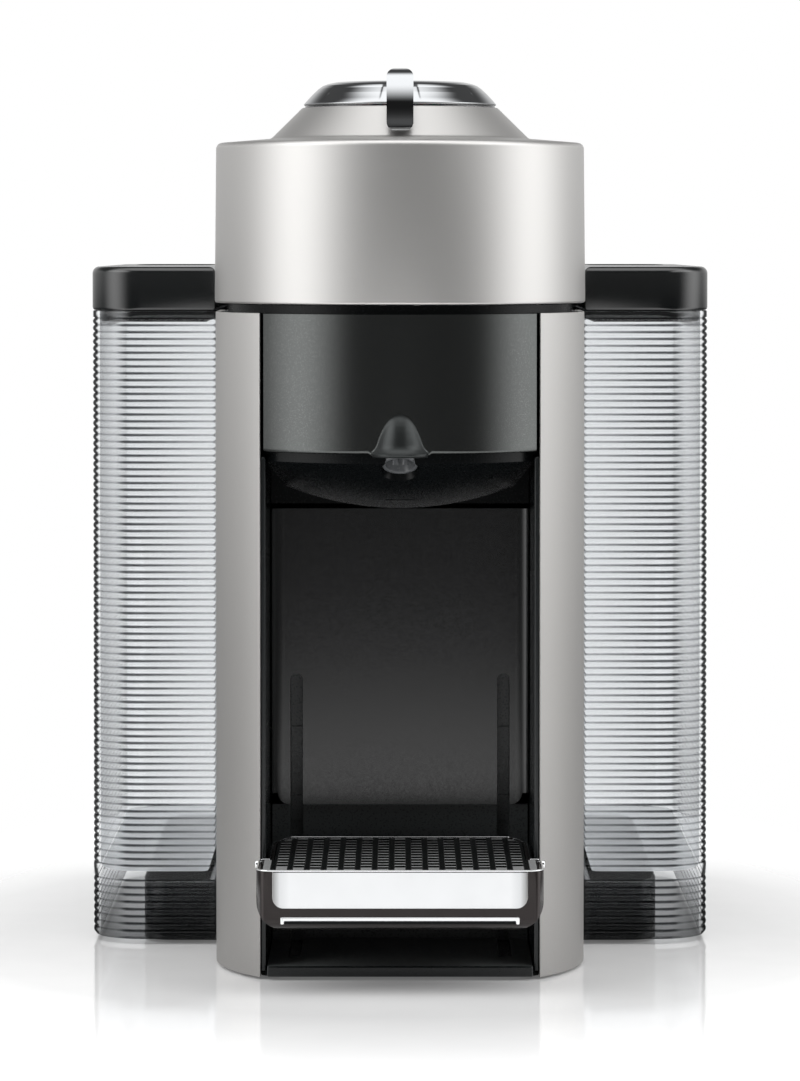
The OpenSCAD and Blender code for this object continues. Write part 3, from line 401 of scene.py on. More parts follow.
def faces_up(face, height, within):
    """Whether a face looks up and lies at a height in millimetres."""
    return face.normal.z > 0.9 and abs(face.center.z / MM - height) < within


def paint(obj, finish, chosen):
    """Gives the faces for which chosen(face) is true a second finish."""
    obj.data.materials.append(MATERIALS[finish])
    for face in obj.data.polygons:
        if chosen(face):
            face.material_index = 1


def smooth(mesh, angle):
    mesh.shade_smooth()
    mesh.set_sharp_from_angle(angle=math.radians(angle))


def combine(obj, shapes, operation="DIFFERENCE", angle=32):
    """Cuts shapes from obj, or joins or intersects them, and keeps the result as its mesh."""
    for shape in shapes:
        tool = build("tool", shape, None, None)
        modifier = obj.modifiers.new("combine", "BOOLEAN")
        modifier.operation = operation
        modifier.solver = "EXACT"
        modifier.object = tool
        bpy.context.view_layer.update()
        made = bpy.data.meshes.new_from_object(obj.evaluated_get(bpy.context.evaluated_depsgraph_get()))
        obj.modifiers.clear()
        old = obj.data
        obj.data = made
        bpy.data.meshes.remove(old)
        bpy.data.objects.remove(tool)
    smooth(obj.data, angle)


def soften(obj, width, segments=3, angle=35, weld=False):
    """Rounds the sharp edges, as moulding does."""
    if weld:
        obj.modifiers.new("weld", "WELD").merge_threshold = 5 * MICRON
    bevel = obj.modifiers.new("bevel", "BEVEL")
    bevel.width = width * MM
    bevel.segments = segments
    bevel.limit_method = "ANGLE"
    bevel.angle_limit = math.radians(angle)
    bevel.miter_outer = "MITER_ARC"
    normals = obj.modifiers.new("normals", "WEIGHTED_NORMAL")
    normals.keep_sharp = False


def loft(rings, loop=False):
    """Skin over closed rings of points, capped at both ends unless it closes on itself."""
    count, total = len(rings[0]), len(rings)
    faces = []
    for i in range(total if loop else total - 1):
        a, b = i * count, (i + 1) % total * count
        faces += [(a + j, a + (j + 1) % count, b + (j + 1) % count, b + j) for j in range(count)]
    if not loop:
        faces.append(tuple(reversed(range(count))))
        faces.append(tuple(range((total - 1) * count, total * count)))
    return [tuple(p) for ring in rings for p in ring], faces


def lathe(section, segments=192, y=0.0, inset=None):
    """Turns a closed section of (radius, height) about an upright axis.

    inset(turn, i), if given, says how far point i moves inwards at a turn.
    """
    rings = []
    for s in range(segments):
        turn = math.tau * s / segments
        ring = []
        for i, (radius, height) in enumerate(section):
            back = inset(turn, i) if inset else 0.0
            reach = radius - back
            ring.append((reach * math.sin(turn), y - reach * math.cos(turn), height))
        rings.append(ring)
    return loft(rings, loop=True)


def prism(outline, low, high, axis="z"):
    """An outline drawn in the two other axes, extruded along axis."""
    at = "xyz".index(axis)
    return loft([[(*point[:at], c, *point[at:]) for point in outline] for c in (low, high)])


def rounded(points, radius, steps=6):
    """A closed outline with its corners rounded, by one radius or one for each point."""
    out = []
    count = len(points)
    for i, (px, py) in enumerate(points):
        r = radius[i] if isinstance(radius, (list, tuple)) else radius
        ax, ay = points[i - 1][0] - px, points[i - 1][1] - py
        bx, by = points[(i + 1) % count][0] - px, points[(i + 1) % count][1] - py
        la, lb = math.hypot(ax, ay), math.hypot(bx, by)
        ax, ay, bx, by = ax / la, ay / la, bx / lb, by / lb
        half = math.acos(max(-1.0, min(1.0, ax * bx + ay * by))) / 2
        if r <= 0 or half > 1.55:
            out.append((px, py))
            continue
        reach = min(r / math.tan(half), 0.49 * min(la, lb))
        r = reach * math.tan(half)
        mx, my = ax + bx, ay + by
        middle = math.hypot(mx, my)
        cx, cy = px + mx / middle * r / math.sin(half), py + my / middle * r / math.sin(half)
        start = math.atan2(py + ay * reach - cy, px + ax * reach - cx)
        end = math.atan2(py + by * reach - cy, px + bx * reach - cx)
        turn = (end - start + math.pi) % math.tau - math.pi
        out += [(cx + r * math.cos(start + turn * s / steps), cy + r * math.sin(start + turn * s / steps))
                for s in range(steps + 1)]
    return out


def round_bar(cx, cy, r):
    """The outline of a round bar or bore."""
    return rounded([(cx - r, cy - r), (cx + r, cy - r), (cx + r, cy + r), (cx - r, cy + r)], r, 8)


def arc(cx, cy, r, start, end, steps):
    """Points on an arc, in degrees."""
    angles = [math.radians(start + (end - start) * s / steps) for s in range(steps + 1)]
    return [(cx + r * math.cos(a), cy + r * math.sin(a)) for a in angles]


def spline(points, steps=5):
    """A smooth closed curve through points."""
    out = []
    count = len(points)
    for i in range(count):
        a, b, c, d = (Vector(points[(i + k) % count]) for k in (-1, 0, 1, 2))
        for s in range(steps):
            t = s / steps
            out.append(tuple((2 * b + (c - a) * t + (2 * a - 5 * b + 4 * c - d) * t * t
                              + (3 * b - a - 3 * c + d) * t ** 3) / 2))
    return out


def ease(x, low, high):
    t = max(0.0, min(1.0, (x - low) / (high - low)))
    return t * t * (3 - 2 * t)


def between(x, table):
    """Reads a table of (x, value) with straight lines between its rows."""
    for (x0, v0), (x1, v1) in zip(table, table[1:]):
        if x <= x1:
            return v0 + (v1 - v0) * max(0.0, (x - x0) / (x1 - x0))
    return table[-1][1]


def box(x0, x1, y0, y1, z0, z1):
    return prism([(x0, y0), (x1, y0), (x1, y1), (x0, y1)], z0, z1)


# ---- Head ----

cover_low, cover_high = place("head_cover")
HEAD_R = cover_high.x
HEAD_Z = cover_low.z
DOME_TOP = cover_high.z
HEAD_TOP = DOME_TOP - 11.8
DOME_R = 41.8
FLAT_R = 33.5
SHELL = 2.2


def head_section():
    """The shell's wall from the lower rim over the shoulder and the dome, and back inside."""
    outer = HEAD_R - 0.5
    return (
        [(HEAD_R - SHELL, HEAD_Z), (HEAD_R - 0.9, HEAD_Z)]
        + arc(HEAD_R - 0.8, HEAD_Z + 0.8, 0.8, -90, 0, 5)
        + arc(outer - 2, HEAD_TOP - 2, 2, 2, 80, 8)
        + [(outer - 3, HEAD_TOP + 0.06), (DOME_R + 7, HEAD_TOP + 0.9)]
        + arc(DOME_R + 3, HEAD_TOP + 4.2, 3, 272, 228, 8)
        + arc(FLAT_R - 1.2, DOME_TOP - 1.2, 1.2, 45, 90, 5)
        + [(FLAT_R - 2.5, DOME_TOP), (FLAT_R - 2.5, DOME_TOP - SHELL), (DOME_R - 1.5, HEAD_TOP + 1.2 - SHELL),
           (outer - SHELL - 1.5, HEAD_TOP - SHELL), (outer - SHELL, HEAD_TOP - SHELL - 1.5)]
    )


def head_cover():
    cover = build("head_cover_visual", lathe(head_section(), 256), "head", "silver_shell", ["head_cover"])
    low, high = place("head_knuckle")
    gap = 0.6
    combine(cover, [box(low.x - gap, high.x + gap, 30, 70, HEAD_Z - 1, high.z + gap)])


head_cover()

# ---- Lever ----

lever_low, lever_high = place("lever")
pin_low, pin_high = place("lever_pins")
LEVER_Z = DOME_TOP + 0.6
LEVER_R = lever_high.x
TAB_W = 8.8
PIN_Y = (pin_low.y + pin_high.y) / 2
PIN_Z = LEVER_Z + 3
RING = [(20.8, 0.05), (LEVER_R - 0.4, 0), (LEVER_R, 0.5), (30.9, 2.2), (29.2, 4.0), (27.4, 5.7), (26.0, 6.7),
        (24.4, 7.3), (21.8, 7.9), (20.8, 7.3)]


def lever_ring():
    """The ring, cut off round its pin at the back, with a shallow recess on each wing."""
    section = rounded(RING, [0.2, 0.25, 0.25, 3, 4, 3, 1.2, 2, 0.7, 0.4], 5)
    recess_depth, crown_r = 0.38, 25.5
    pin_gap, pin_bore, pin_x = 15.4, 1.36, (15, 24.4)

    def recess(turn, i):
        turn = abs((turn + math.pi) % math.tau - math.pi)
        radius, height = section[i]
        if radius < crown_r:
            return 0.0
        along = ease(height, 1.5, 2.1) * (1 - ease(height, 5.6, 6.3))
        across = ease(turn, 0.20, 0.225) * (1 - ease(turn, 0.92, 0.98))
        return recess_depth * along * across

    points = [(r, LEVER_Z + z) for r, z in section]
    ring = build("lever_ring", lathe(points, 512, inset=recess), "lever", "bright_chrome", ["lever"],
                 "shaded_lever_chrome")
    eye = arc(PIN_Y, PIN_Z, 3, -90, 90, 24)
    behind = [(PIN_Y, LEVER_Z - 1)] + eye + [(PIN_Y, LEVER_Z + 20), (40, LEVER_Z + 20), (40, LEVER_Z - 1)]
    cuts = [prism(behind, -40, 40, "x"), box(-pin_gap, pin_gap, 6, 30, LEVER_Z - 1, LEVER_Z + 20)]
    bore = round_bar(PIN_Y, PIN_Z, pin_bore)
    cuts += [prism(bore, *sorted(side * x for x in pin_x), "x") for side in (-1, 1)]
    combine(ring, cuts)


TAB_SIDE = [(-21.5, 1.5), (-21.5, 7.6), (-25, 9.8), (-28.5, 11.2), (-32, 11.6), (-35.6, 11), (-38.8, 8.9),
            (-41.5, 5.2), (-43.6, 0.4), (-45, -5), (-45.15, -8.2), (-44.3, -9.3), (-43.0, -9.2), (-41.6, -6),
            (-40, -1.6), (-38.4, 1.8), (-36, 4), (-33.4, 4.6), (-30, 3)]


def lever_tab():
    """The finger tab: its side view, rounded in front view as well."""
    side = [(y, LEVER_Z + z) for y, z in spline(TAB_SIDE, 4)]
    top, low = lever_high.z - 0.05, lever_low.z + 0.1
    tab = build("lever_tab", prism(side, -TAB_W / 2, TAB_W / 2, "x"), "lever", "bright_chrome",
                finish="shaded_lever_chrome")
    half = TAB_W / 2 + 0.02
    front = rounded([(-half, low), (half, low), (half, top), (-half, top)], [3.0, 3.0, 2.9, 2.9], 7)
    combine(tab, [prism(front, -50, -18, "y")], "INTERSECT")
    soften(tab, 1.3, 6, 42)


lever_ring()
lever_tab()

# ---- Columns and front panel ----

column_low, column_high = place("right_column")
BAY_X = column_low.x
COLUMN_R = column_high.x
COLUMN_BACK = column_high.y
WALL = 2.0
FLANGE_Y = -35.2


def column(side, name):
    """A cover that follows the head's round at the front and runs straight back, open behind."""
    front_angle = math.degrees(math.acos(BAY_X / COLUMN_R))
    inner_r = COLUMN_R - WALL
    inner_angle = math.degrees(math.acos((BAY_X + WALL) / inner_r))
    outer = arc(0, 0, COLUMN_R, -front_angle, 0, 40)
    inner = arc(0, 0, inner_r, 0, -inner_angle, 36)
    outline = (outer + [(COLUMN_R, COLUMN_BACK), (inner_r, COLUMN_BACK)] + inner
               + [(BAY_X + WALL, FLANGE_Y), (BAY_X, FLANGE_Y)])
    radii = [1.1] + [0] * 40 + [0.8, 0.3] + [0] * 37 + [0.3, 0.3]
    outline = [(side * x, y) for x, y in rounded(outline, radii, 6)]
    if side < 0:
        outline.reverse()
    shape = prism(outline, column_low.z, column_high.z)
    piece = build(name + "_visual", shape, "housing", "silver_shell", [name], "side_silver_painted_shade", 50)
    soften(piece, 0.45, 3, 60)


column(-1, "left_column")
column(1, "right_column")

panel_low, panel_high = place("front_panel")
PANEL_R = COLUMN_R - 0.8
PANEL_Z = panel_low.z + 1.14
NOSE_Y = 57.0
NOSE = [(-1.6, 10.55), (-0.1, 10.5), (0.7, 9.5), (1.6, 8.75), (2.8, 8.2), (5.2, 7.55), (7.4, 6.85),
        (9.2, 6.15), (10.6, 5.45), (11.6, 4.85), (12.4, 4.25), (13.2, 3.5)]


def panel_front(x, z):
    """How far the panel's face stands in front of the axis, with the nose blended into it."""
    base = math.sqrt(PANEL_R ** 2 - x * x)
    nose_r = between(z - PANEL_Z, NOSE)
    if abs(x) >= nose_r:
        return base
    nose = NOSE_Y + math.sqrt(nose_r ** 2 - x * x)
    blend = 0.35
    gap = max(0.0, 1 - abs(nose - base) / (2 * blend))
    return max(nose, base) + gap * gap * blend / 2


def front_panel():
    """The curved panel from upright slices, which stand close together and have more rows at the nose."""
    top = panel_high.z
    edge = 1.2
    inner = PANEL_R - 1.7
    half = panel_high.x
    margin = 0.06
    nose_x, nose_top = 12, PANEL_Z + 16
    fine = [nose_x * i / 48 for i in range(-48, 49)]
    coarse = [nose_x + (half - nose_x) * i / 26 for i in range(1, 27)]
    rings = []
    for x in [-c for c in reversed(coarse)] + fine + coarse:
        low = PANEL_Z - 1 + ease(abs(x), 8.6, 10.4)
        heights = [top - (top - nose_top) * i / 6 for i in range(6)]
        heights += [nose_top - (nose_top - low - edge) * i / 40 for i in range(41)]
        ring = [(x, -panel_front(x, z), z) for z in heights]
        face = panel_front(x, low + edge)
        for s in range(1, 7):
            a = math.pi / 2 * s / 6
            ring.append((x, -face + edge * (1 - math.cos(a)), low + edge * (1 - math.sin(a))))
        back = -math.sqrt(inner ** 2 - x * x)
        ring.append((x, back, low))
        ring.append((x, back, top))
        rings.append(ring)
    panel = build("front_panel_visual", loft(rings), "housing", "charcoal_panel", ["front_panel"], angle=40)

    def on_nose(face):
        x, y, _ = face.center / MM
        return AXIS_Y / MM - y > math.sqrt(PANEL_R ** 2 - x * x) + margin

    paint(panel, "nose_grey", on_nose)


front_panel()

# ---- Water tank and its lid ----

tank_low, tank_high = place("water_tank")
lid_low, lid_high = place("tank_lid")
TANK_CORNER = 18.0
CHANNEL_X = 63.5
CHANNEL_BACK = 174.0
RIB_PITCH = 2.37
RIB_DEPTH = 0.75
TANK_FLOOR = 22.4
TANK_WALL = 2.5


def tank_ring(inset, height):
    """The U-shaped plan of the tank, moved inwards by inset."""
    side, front, back = tank_high.x - inset, tank_low.y + inset, tank_high.y - inset
    channel, end = CHANNEL_X + inset, CHANNEL_BACK + inset
    corner = TANK_CORNER - inset
    outline = rounded([(side, front), (side, back), (-side, back), (-side, front), (-channel, front),
                       (-channel, end), (channel, end), (channel, front)],
                      [corner] * 4 + [0.5, 8, 8, 0.5], 9)
    return [(x, y, height) for x, y in outline]


def ribs(low, high):
    """Insets and heights of half-round ribs between two heights, whose crests touch the outer face."""
    count = round((high - low) / RIB_PITCH)
    steps = 8
    pitch = (high - low) / count
    profile = [RIB_DEPTH * (1 - math.sin(math.pi * s / steps) ** 0.75) for s in range(steps)]
    return [(inset, low + pitch * (i + s / steps)) for i in range(count)
            for s, inset in enumerate(profile)] + [(RIB_DEPTH, high)]


def water_tank():
    floor, wall, low, high = TANK_FLOOR, TANK_WALL, tank_low.z, tank_high.z
    section = (
        [(wall, floor), (wall, low + 0.5), (wall - 0.4, low), (0.9, low)]
        + ribs(low + 0.4, floor - 0.2) + [(0.0, floor + 0.3), (0.0, floor + 4.0), (0.25, floor + 4.6)]
        + ribs(floor + 4.8, high - 2.6)
        + [(0.1, high - 2.2), (0.1, high - 0.3), (0.4, high), (wall - 0.3, high), (wall, high - 0.3),
           (wall, floor + wall + 1.5), (wall + 0.5, floor + wall + 0.4), (wall + 1.6, floor + wall)]
    )
    shape = loft([tank_ring(i, z) for i, z in section])
    tank = build("water_tank_visual", shape, "tank", "clear_plastic", ["water_tank"], angle=75)
    gland_low, gland_high = place("cord_gland")
    notch = (gland_low.x - 3, gland_high.x + 3)
    combine(tank, [box(*notch, tank_high.y - 6, tank_high.y + 1, 0, 21)], angle=75)
    paint(tank, "frosted_plastic_painted_glow", lambda face: faces_up(face, floor + wall, 1))


def tank_valve_seat():
    """A tube under the tank's floor, round the valve."""
    low, high = place("valve_spring")
    middle = (low + high) / 2
    bottom, top, inner, outer = 11, TANK_FLOOR - 0.2, 5, 9
    section = [(inner, bottom), (outer, bottom), (outer, top), (inner, top)]
    points, faces = lathe(section, 64, middle.y)
    points = [(x + middle.x, y, z) for x, y, z in points]
    build("tank_valve_seat", (points, faces), "tank", "clear_plastic")


def tank_lid():
    low, high = lid_low.z, lid_high.z
    rim = low + 4
    crown = 2.4
    section = (
        [(5.5, high - 1.8), (4.9, high - 2.4), (4.9, low + 0.4), (4.5, low), (3.3, low), (2.9, low + 0.4),
         (2.9, rim), (0.5, rim), (0.15, rim + 0.35), (0.0, rim + 0.9)]
        + arc(crown, high - crown, crown, 180, 90, 9)
        + [(6.5, high), (7.0, high - 0.35), (8.2, high - 0.35)]
    )
    shape = loft([tank_ring(i, z) for i, z in section])
    build("tank_lid_visual", shape, "lid", "black_plastic", ["tank_lid"], "satin_black", 40)


water_tank()
tank_valve_seat()
tank_lid()

# ---- Drip tray ----

tray_low, tray_high = place("drip_tray")
TRAY_TOP = tray_high.z
TRAY_LOW = tray_low.z
TRAY_FRONT = tray_low.y
TRAY_X = BAY_X + 0.5
TRAY_NECK = -47.0
TRAY_BACK = 10.0
TRAY_CORNER = 5.0
FACE_STEP = 0.5
RIM = 0.5
RIM_W = 0.7
LINE_Z = TRAY_LOW + 4.2
GROOVE_X = 37.4
LEDGE_Z = TRAY_TOP - 10.6
LEDGE_PITCH = 23.5


def tray_plan(inset):
    """The tray's plan, wide in front of the columns and narrow between them, moved inwards by inset."""
    wide, narrow, front, back = TRAY_X - inset, 43.2 - inset, TRAY_FRONT + inset, TRAY_BACK - inset
    right = [(wide, front), (wide, TRAY_NECK - inset), (narrow, TRAY_NECK - inset), (narrow, -6),
             (narrow - 5, back)]
    radius = max(TRAY_CORNER - inset, 0.6)
    points = right + [(-x, y) for x, y in reversed(right)]
    radii = [radius, 0.8, 0.4, 1.5, 2.0]
    return rounded(points, radii + radii[::-1], 6)


def tray_shell():
    """The tray's body, rounded below at the front, with a stepped well and a groove for the slot."""
    belly, edge, wall = 8.0, 11.5, 1.8
    front = TRAY_FRONT + FACE_STEP
    body = prism([(x, max(y, front)) for x, y in tray_plan(0.0)], TRAY_LOW, TRAY_TOP - RIM)
    shell = build("tray_shell", body, "tray", "bright_chrome", ["drip_tray"], "dark_trim")
    side_view = [(20, TRAY_LOW), (20, TRAY_TOP + 1), (front - 1, TRAY_TOP + 1), (front - 1, TRAY_LOW + belly)]
    side_view += arc(front - 1 + belly, TRAY_LOW + belly, belly, 180, 270, 12)[1:]
    half = TRAY_X + 0.1
    front_view = [(half, TRAY_TOP + 1), (-half, TRAY_TOP + 1), (-half, TRAY_LOW), (half, TRAY_LOW)]
    front_view = rounded(front_view, [0, 0, edge, edge], 12)
    combine(shell, [prism(side_view, -60, 60, "x"), prism(front_view, -90, 40, "y")], "INTERSECT")
    steps = ((TRAY_TOP - 2.65, wall), (TRAY_TOP - 12.6, wall + 1.6), (TRAY_TOP - 16, wall + 8))
    combine(shell, [prism(tray_plan(inset), low, TRAY_TOP + 8) for low, inset in steps])
    groove = box(-GROOVE_X, GROOVE_X, TRAY_FRONT - 1, TRAY_FRONT + 1.7, LINE_Z - 1.7, LINE_Z - 0.5)
    combine(shell, [groove])
    soften(shell, 0.5, 3, 45)


def tray_face():
    half, low, high = 41.3, TRAY_LOW + 7.6, TRAY_TOP - 0.25
    plate = rounded([(-half, low), (half, low), (half, high), (-half, high)], [3.8, 3.8, 0.6, 0.6], 8)
    shape = prism(plate, TRAY_FRONT + 0.02, TRAY_FRONT + 1.4, "y")
    soften(build("tray_face", shape, "tray", "bright_chrome", finish="face_chrome_shaded_ends"), 1.3, 8, 60)


def tray_line():
    """The bright line over the slot, whose ends turn down, and the bottom of the slot in painted shade."""
    end, low, middle, high = 38.5, LINE_Z - 1.6, LINE_Z - 0.5, LINE_Z + 0.7
    bead = rounded([(-end, low), (-end, high), (end, high), (end, low), (GROOVE_X, low), (GROOVE_X, middle),
                    (-GROOVE_X, middle), (-GROOVE_X, low)], 0.4, 4)
    shape = prism(bead, TRAY_FRONT + 0.1, TRAY_FRONT + 1.5, "y")
    soften(build("tray_line", shape, "tray", "bright_chrome"), 0.2, 2, 60)
    half = GROOVE_X - 0.05
    shape = box(-half, half, TRAY_FRONT + 0.9, TRAY_FRONT + 1.68, LINE_Z - 1.66, LINE_Z - 0.52)
    soften(build("tray_slot", shape, "tray", "gloss_black", finish="shade_black"), 0.1, 2, 60)


def tray_rim():
    low = TRAY_TOP - RIM
    outer, inner = tray_plan(0.0), tray_plan(RIM_W)
    rings = [[(x, y, z) for x, y in plan]
             for plan, z in ((outer, low), (outer, TRAY_TOP), (inner, TRAY_TOP), (inner, low))]
    soften(build("tray_rim", loft(rings, loop=True), "tray", "bright_chrome"), 0.15, 2, 60)


def tray_hooks():
    """The two hooks that hang the tray in the bay's slots, and the pins at its sides."""
    back, hook_x = 23.6, (33.6, 37.0)
    pin_r, pin_x = 1.3, (45.0, 47.4)
    side = rounded([(9, TRAY_TOP - 5), (9, TRAY_TOP - 1), (back - 1.2, TRAY_TOP - 1), (back, TRAY_TOP - 2.2),
                    (back, LEDGE_Z), (back - 2.6, LEDGE_Z), (back - 2.6, TRAY_TOP - 5)],
                   [0, 0, 0.6, 0.6, 0.4, 0.4, 1.5], 4)
    pin = round_bar(-50, TRAY_TOP - 1.4, pin_r)
    for sign, name in ((-1, "left"), (1, "right")):
        hook = prism(side, *sorted(sign * x for x in hook_x), "x")
        soften(build(f"tray_hook_{name}", hook, "tray", "gloss_black"), 0.3, 2, 50)
        bar = prism(pin, *sorted(sign * x for x in pin_x), "x")
        soften(build(f"tray_pin_{name}", bar, "tray", "bright_chrome"), 0.3, 2, 50)


tray_shell()
tray_face()
tray_line()
tray_rim()
tray_hooks()

# ---- Cup bay ----

recess_low, recess_high = place("recess_back")
SLOT_X = 35.3
SLOT_W = 4.2
SLOT_TOP = 95.5
STEP_Z = 50.7
WALL_Y = recess_high.y - 8.0


def slots(low, back):
    """Cutters for the two hook slots, from a height upwards and to a depth."""
    left, right, radius = SLOT_X - SLOT_W / 2, SLOT_X + SLOT_W / 2, SLOT_W / 2 - 0.01
    corners = [(left, low), (right, low), (right, SLOT_TOP), (left, SLOT_TOP)]
    outline = rounded(corners, [0, 0, radius, radius], 8)
    return [prism([(sign * x, z) for x, z in outline], -20, back, "y") for sign in (-1, 1)]


def recess_wall():
    """The glossy back wall, which curves forward into both sides and has rounded lower corners."""
    side = recess_high.x
    fillet, spread, corner = 8.0, 35.0, 4.0
    hollow = arc(side - fillet * math.sin(math.radians(spread)), WALL_Y - fillet, fillet, 90 - spread, 90, 14)
    right = [(side, WALL_Y + 2.4)] + hollow
    plan = right + [(-x, y) for x, y in reversed(right)]
    wall = build("recess_wall", prism(plan, STEP_Z, recess_high.z), "container", "black_plastic",
                 ["recess_back"], "satin_black", 60)
    inner = side - 2 - corner
    trim = [(side + 1, STEP_Z - 1), (side + 1, STEP_Z + corner)]
    trim += arc(inner, STEP_Z + corner, corner, 0, -90, 10) + [(inner, STEP_Z - 1)]
    combine(wall, [prism([(sign * x, z) for x, z in trim], 0, 40, "y") for sign in (-1, 1)], angle=60)
    combine(wall, slots(STEP_Z - 2, 40), angle=60)
    soften(wall, 0.35, 3, 50)


def recess_floor():
    """The bay's floor and lower wall in one, with the slots' housings and the ledges that carry the hooks."""
    side, back, low = recess_high.x, recess_high.y, recess_low.z
    lip_y = recess_low.y + 1.6
    floor_z = low + 1.8
    floor_top = floor_z + 1.4
    foot = build("recess_floor", box(-side, side, lip_y, back, floor_z, floor_top), "container",
                 "black_plastic", finish="matt_black")
    lip = build("recess_lip", box(-side, side, recess_low.y, lip_y, low, floor_z + 1.6), "container",
                "black_plastic")
    soften(lip, 0.45, 3, 50)
    parts = [box(-side, side, WALL_Y + 2.5, WALL_Y + 4.9, floor_z, STEP_Z - 0.1)]
    housing, ledge = 4, 2.3
    parts += [box(x - housing, x + housing, WALL_Y + 2.5, back, floor_z, SLOT_TOP + 3)
              for x in (-SLOT_X, SLOT_X)]
    combine(foot, parts, "UNION", 50)
    combine(foot, slots(low - 1, back - 1.5), angle=50)
    heights = [LEDGE_Z + i * LEDGE_PITCH for i in range(3)]
    ledges = [box(x - ledge, x + ledge, back - 2.2, back - 1, z - 9, z - 0.3)
              for x in (-SLOT_X, SLOT_X) for z in heights]
    combine(foot, ledges, "UNION", 50)
    # painted light: the floor's top faces are paler than the rest, as if lit
    paint(foot, "bay_floor_painted_light", lambda face: faces_up(face, floor_top, 0.1))
    soften(foot, 0.3, 2, 50)


recess_wall()
recess_floor()

# ---- CAD nodes that stay ----

EDGE = {
    "rear_deck": 0.8, "head_knuckle": 0.8,
    "capsule_bin": 0.6, "left_side_panel": 0.6, "right_side_panel": 0.6, "rear_cover": 0.6,
    "hinge_bracket": 0.6, "hinge_damper": 0.6,
    "brew_bowl": 0.5, "base_pan": 0.5,
    "left_liner": 0.4, "right_liner": 0.4,
    "flow_straightener": 0.3, "brew_button": 0.3,
    "drip_grid": 0.25, "coffee_nozzle": 0.25,
}
# the bowl and the brew deck take the painted-shade black
FINISH_OF_NODE = {"brew_bowl": "shade_black", "brew_deck": "shade_black", "drip_grid": "grid_black"}


def cad_nodes():
    """Materials and small edge radii for the CAD nodes that no piece replaces."""
    slot_of = {part["node"]: part["material_slot"] for part in frame["record"]["subparts"]}
    for name, obj in frame["nodes"].items():
        if obj.hide_render:
            continue
        obj.data.materials.clear()
        obj.data.materials.append(MATERIALS[FINISH_OF_NODE.get(name, slot_of[name])])
        for polygon in obj.data.polygons:
            polygon.material_index = 0
        soften(obj, EDGE.get(name, 0.2), 2, 35, weld=True)


cad_nodes()

# ---- Floor, light and camera ----


def floor():
    """A white ground that gives a faint mirror image, and fades out in front."""
    half = 3.0
    corners = [(-half, -half, 0), (half, -half, 0), (half, half, 0), (-half, half, 0)]
    mesh = bpy.data.meshes.new("floor")
    mesh.from_pydata(corners, [], [(0, 1, 2, 3)])
    obj = bpy.data.objects.new("floor", mesh)
    bpy.context.scene.collection.objects.link(obj)
    nodes = Nodes("floor")
    grain = nodes.noise(40.0)
    nodes.set(Emission_Color=(1, 1, 1, 1), IOR=1.6)
    nodes.link(nodes.ramp(grain, [(0.3, (0.89, 0.89, 0.892)), (0.7, 0.91)]), "Base Color")
    nodes.link(nodes.span(grain, 0.07, 0.11), "Roughness")

    def distance(squeeze, shift):
        """Distance from a point on the floor, stretched along X."""
        mapping = nodes.add("Mapping")
        mapping.inputs["Scale"].default_value = (squeeze, 1.0, 1.0)
        mapping.inputs["Location"].default_value = (0.0, shift, 0.0)
        nodes.link(nodes.place, mapping.inputs["Vector"])
        length = nodes.add("VectorMath")
        length.operation = "LENGTH"
        nodes.link(mapping.outputs["Vector"], length.inputs[0])
        return length.outputs["Value"]

    near = distance(1.2, 0.0)
    nodes.link(nodes.span(near, 0.10, 0.45, 0.19, 0.31), "Emission Strength")
    nodes.link(nodes.span(near, 0.66, 0.05, 0.19, 0.32), "Specular IOR Level")
    fade = nodes.span(distance(3.0, 0.3), 0.0, 1.0, 0.5, 0.75)
    nodes.surface(nodes.mix(fade, nodes.shader.outputs["BSDF"], nodes.clear((1, 1, 1))))
    mesh.materials.append(nodes.material)


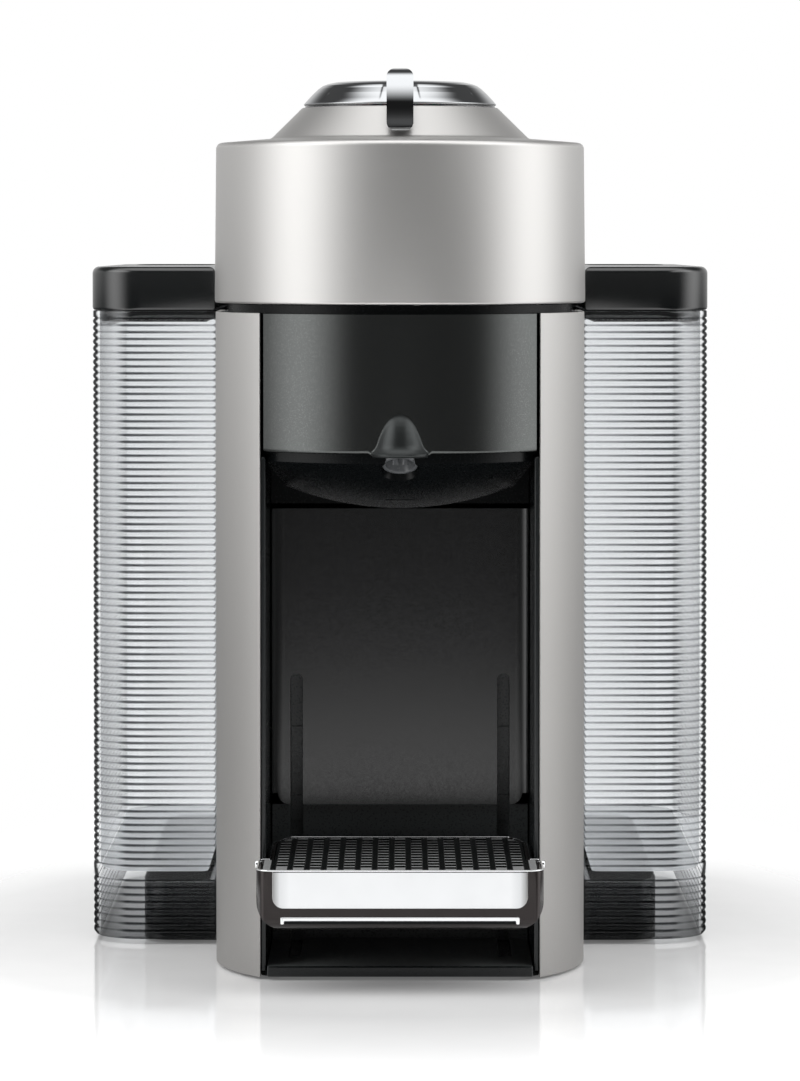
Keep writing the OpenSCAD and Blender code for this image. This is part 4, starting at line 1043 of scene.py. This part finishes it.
def studio():
    """Light by direction: darker in front, pale behind, a softbox at each side, and light from above."""
    world = bpy.data.worlds.new("studio")
    bpy.context.scene.world = world
    nodes = Tree(world)
    nodes.tree.nodes.clear()
    maths = nodes.maths
    split = nodes.add("SeparateXYZ")
    nodes.link(nodes.add("TexCoord").outputs["Generated"], split.inputs[0])
    x, y, z = split.outputs

    def span(value, start, end, low, high):
        smooth_span = nodes.span(value, low, high, start, end)
        smooth_span.node.interpolation_type = "SMOOTHSTEP"
        return smooth_span

    azimuth = maths("MULTIPLY", maths("ARCTAN2", x, maths("MULTIPLY", y, -1.0)), 180 / math.pi)

    def softbox(centre, half, soft, strength):
        away = maths("ABSOLUTE", maths("SUBTRACT", azimuth, centre))
        return span(away, half - soft, half + soft, strength, 0.0)

    level = maths("MULTIPLY", span(y, -0.6, 0.5, 0.19, 0.92), span(z, -0.32, 0.12, 0.12, 1.0))
    level = maths("MULTIPLY", level, span(z, 0.25, 0.55, 1.0, 0.15))
    boxes = maths("ADD", softbox(-66, 19, 18, 2.7), softbox(86, 19, 18, 2.4))
    boxes = maths("MULTIPLY", boxes, span(z, 0.35, 0.8, 1.0, 0.0))
    above = maths("MULTIPLY", span(z, 0.62, 0.92, 0.0, 2.7), span(y, 0.02, 0.45, 1.0, 0.0))
    wings = span(maths("ABSOLUTE", x), 0.40, 0.58, 0.0, 3.0)
    wings = maths("MULTIPLY", wings, span(z, 0.30, 0.55, 0.0, 1.0))
    wings = maths("MULTIPLY", wings, span(y, -0.1, 0.22, 1.0, 0.0))
    light = maths("ADD", maths("ADD", level, boxes), maths("MAXIMUM", above, wings))
    studio_light = nodes.add("Background")
    nodes.link(light, studio_light.inputs["Strength"])
    backdrop = nodes.add("Background")
    backdrop.inputs["Color"].default_value = (1, 1, 1, 1)
    for_camera = nodes.add("LightPath").outputs["Is Camera Ray"]
    shown = nodes.mix(for_camera, studio_light.outputs[0], backdrop.outputs[0])
    nodes.link(shown, nodes.add("OutputWorld").inputs["Surface"])


def camera():
    """The photo's camera: a long lens, a little above the middle and looking slightly down."""
    data = bpy.data.cameras.new("camera")
    data.lens = 154.3
    data.sensor_width = 36.0
    data.shift_y = -0.14
    data.clip_start, data.clip_end = 0.05, 30
    obj = bpy.data.objects.new("camera", data)
    obj.location = (0, -1.635, 0.2431)
    obj.rotation_euler = (math.radians(90 - 1.83), 0, 0)
    bpy.context.scene.collection.objects.link(obj)
    bpy.context.scene.camera = obj


floor()
studio()
camera()
scene = bpy.context.scene
scene.view_settings.view_transform = "Standard"
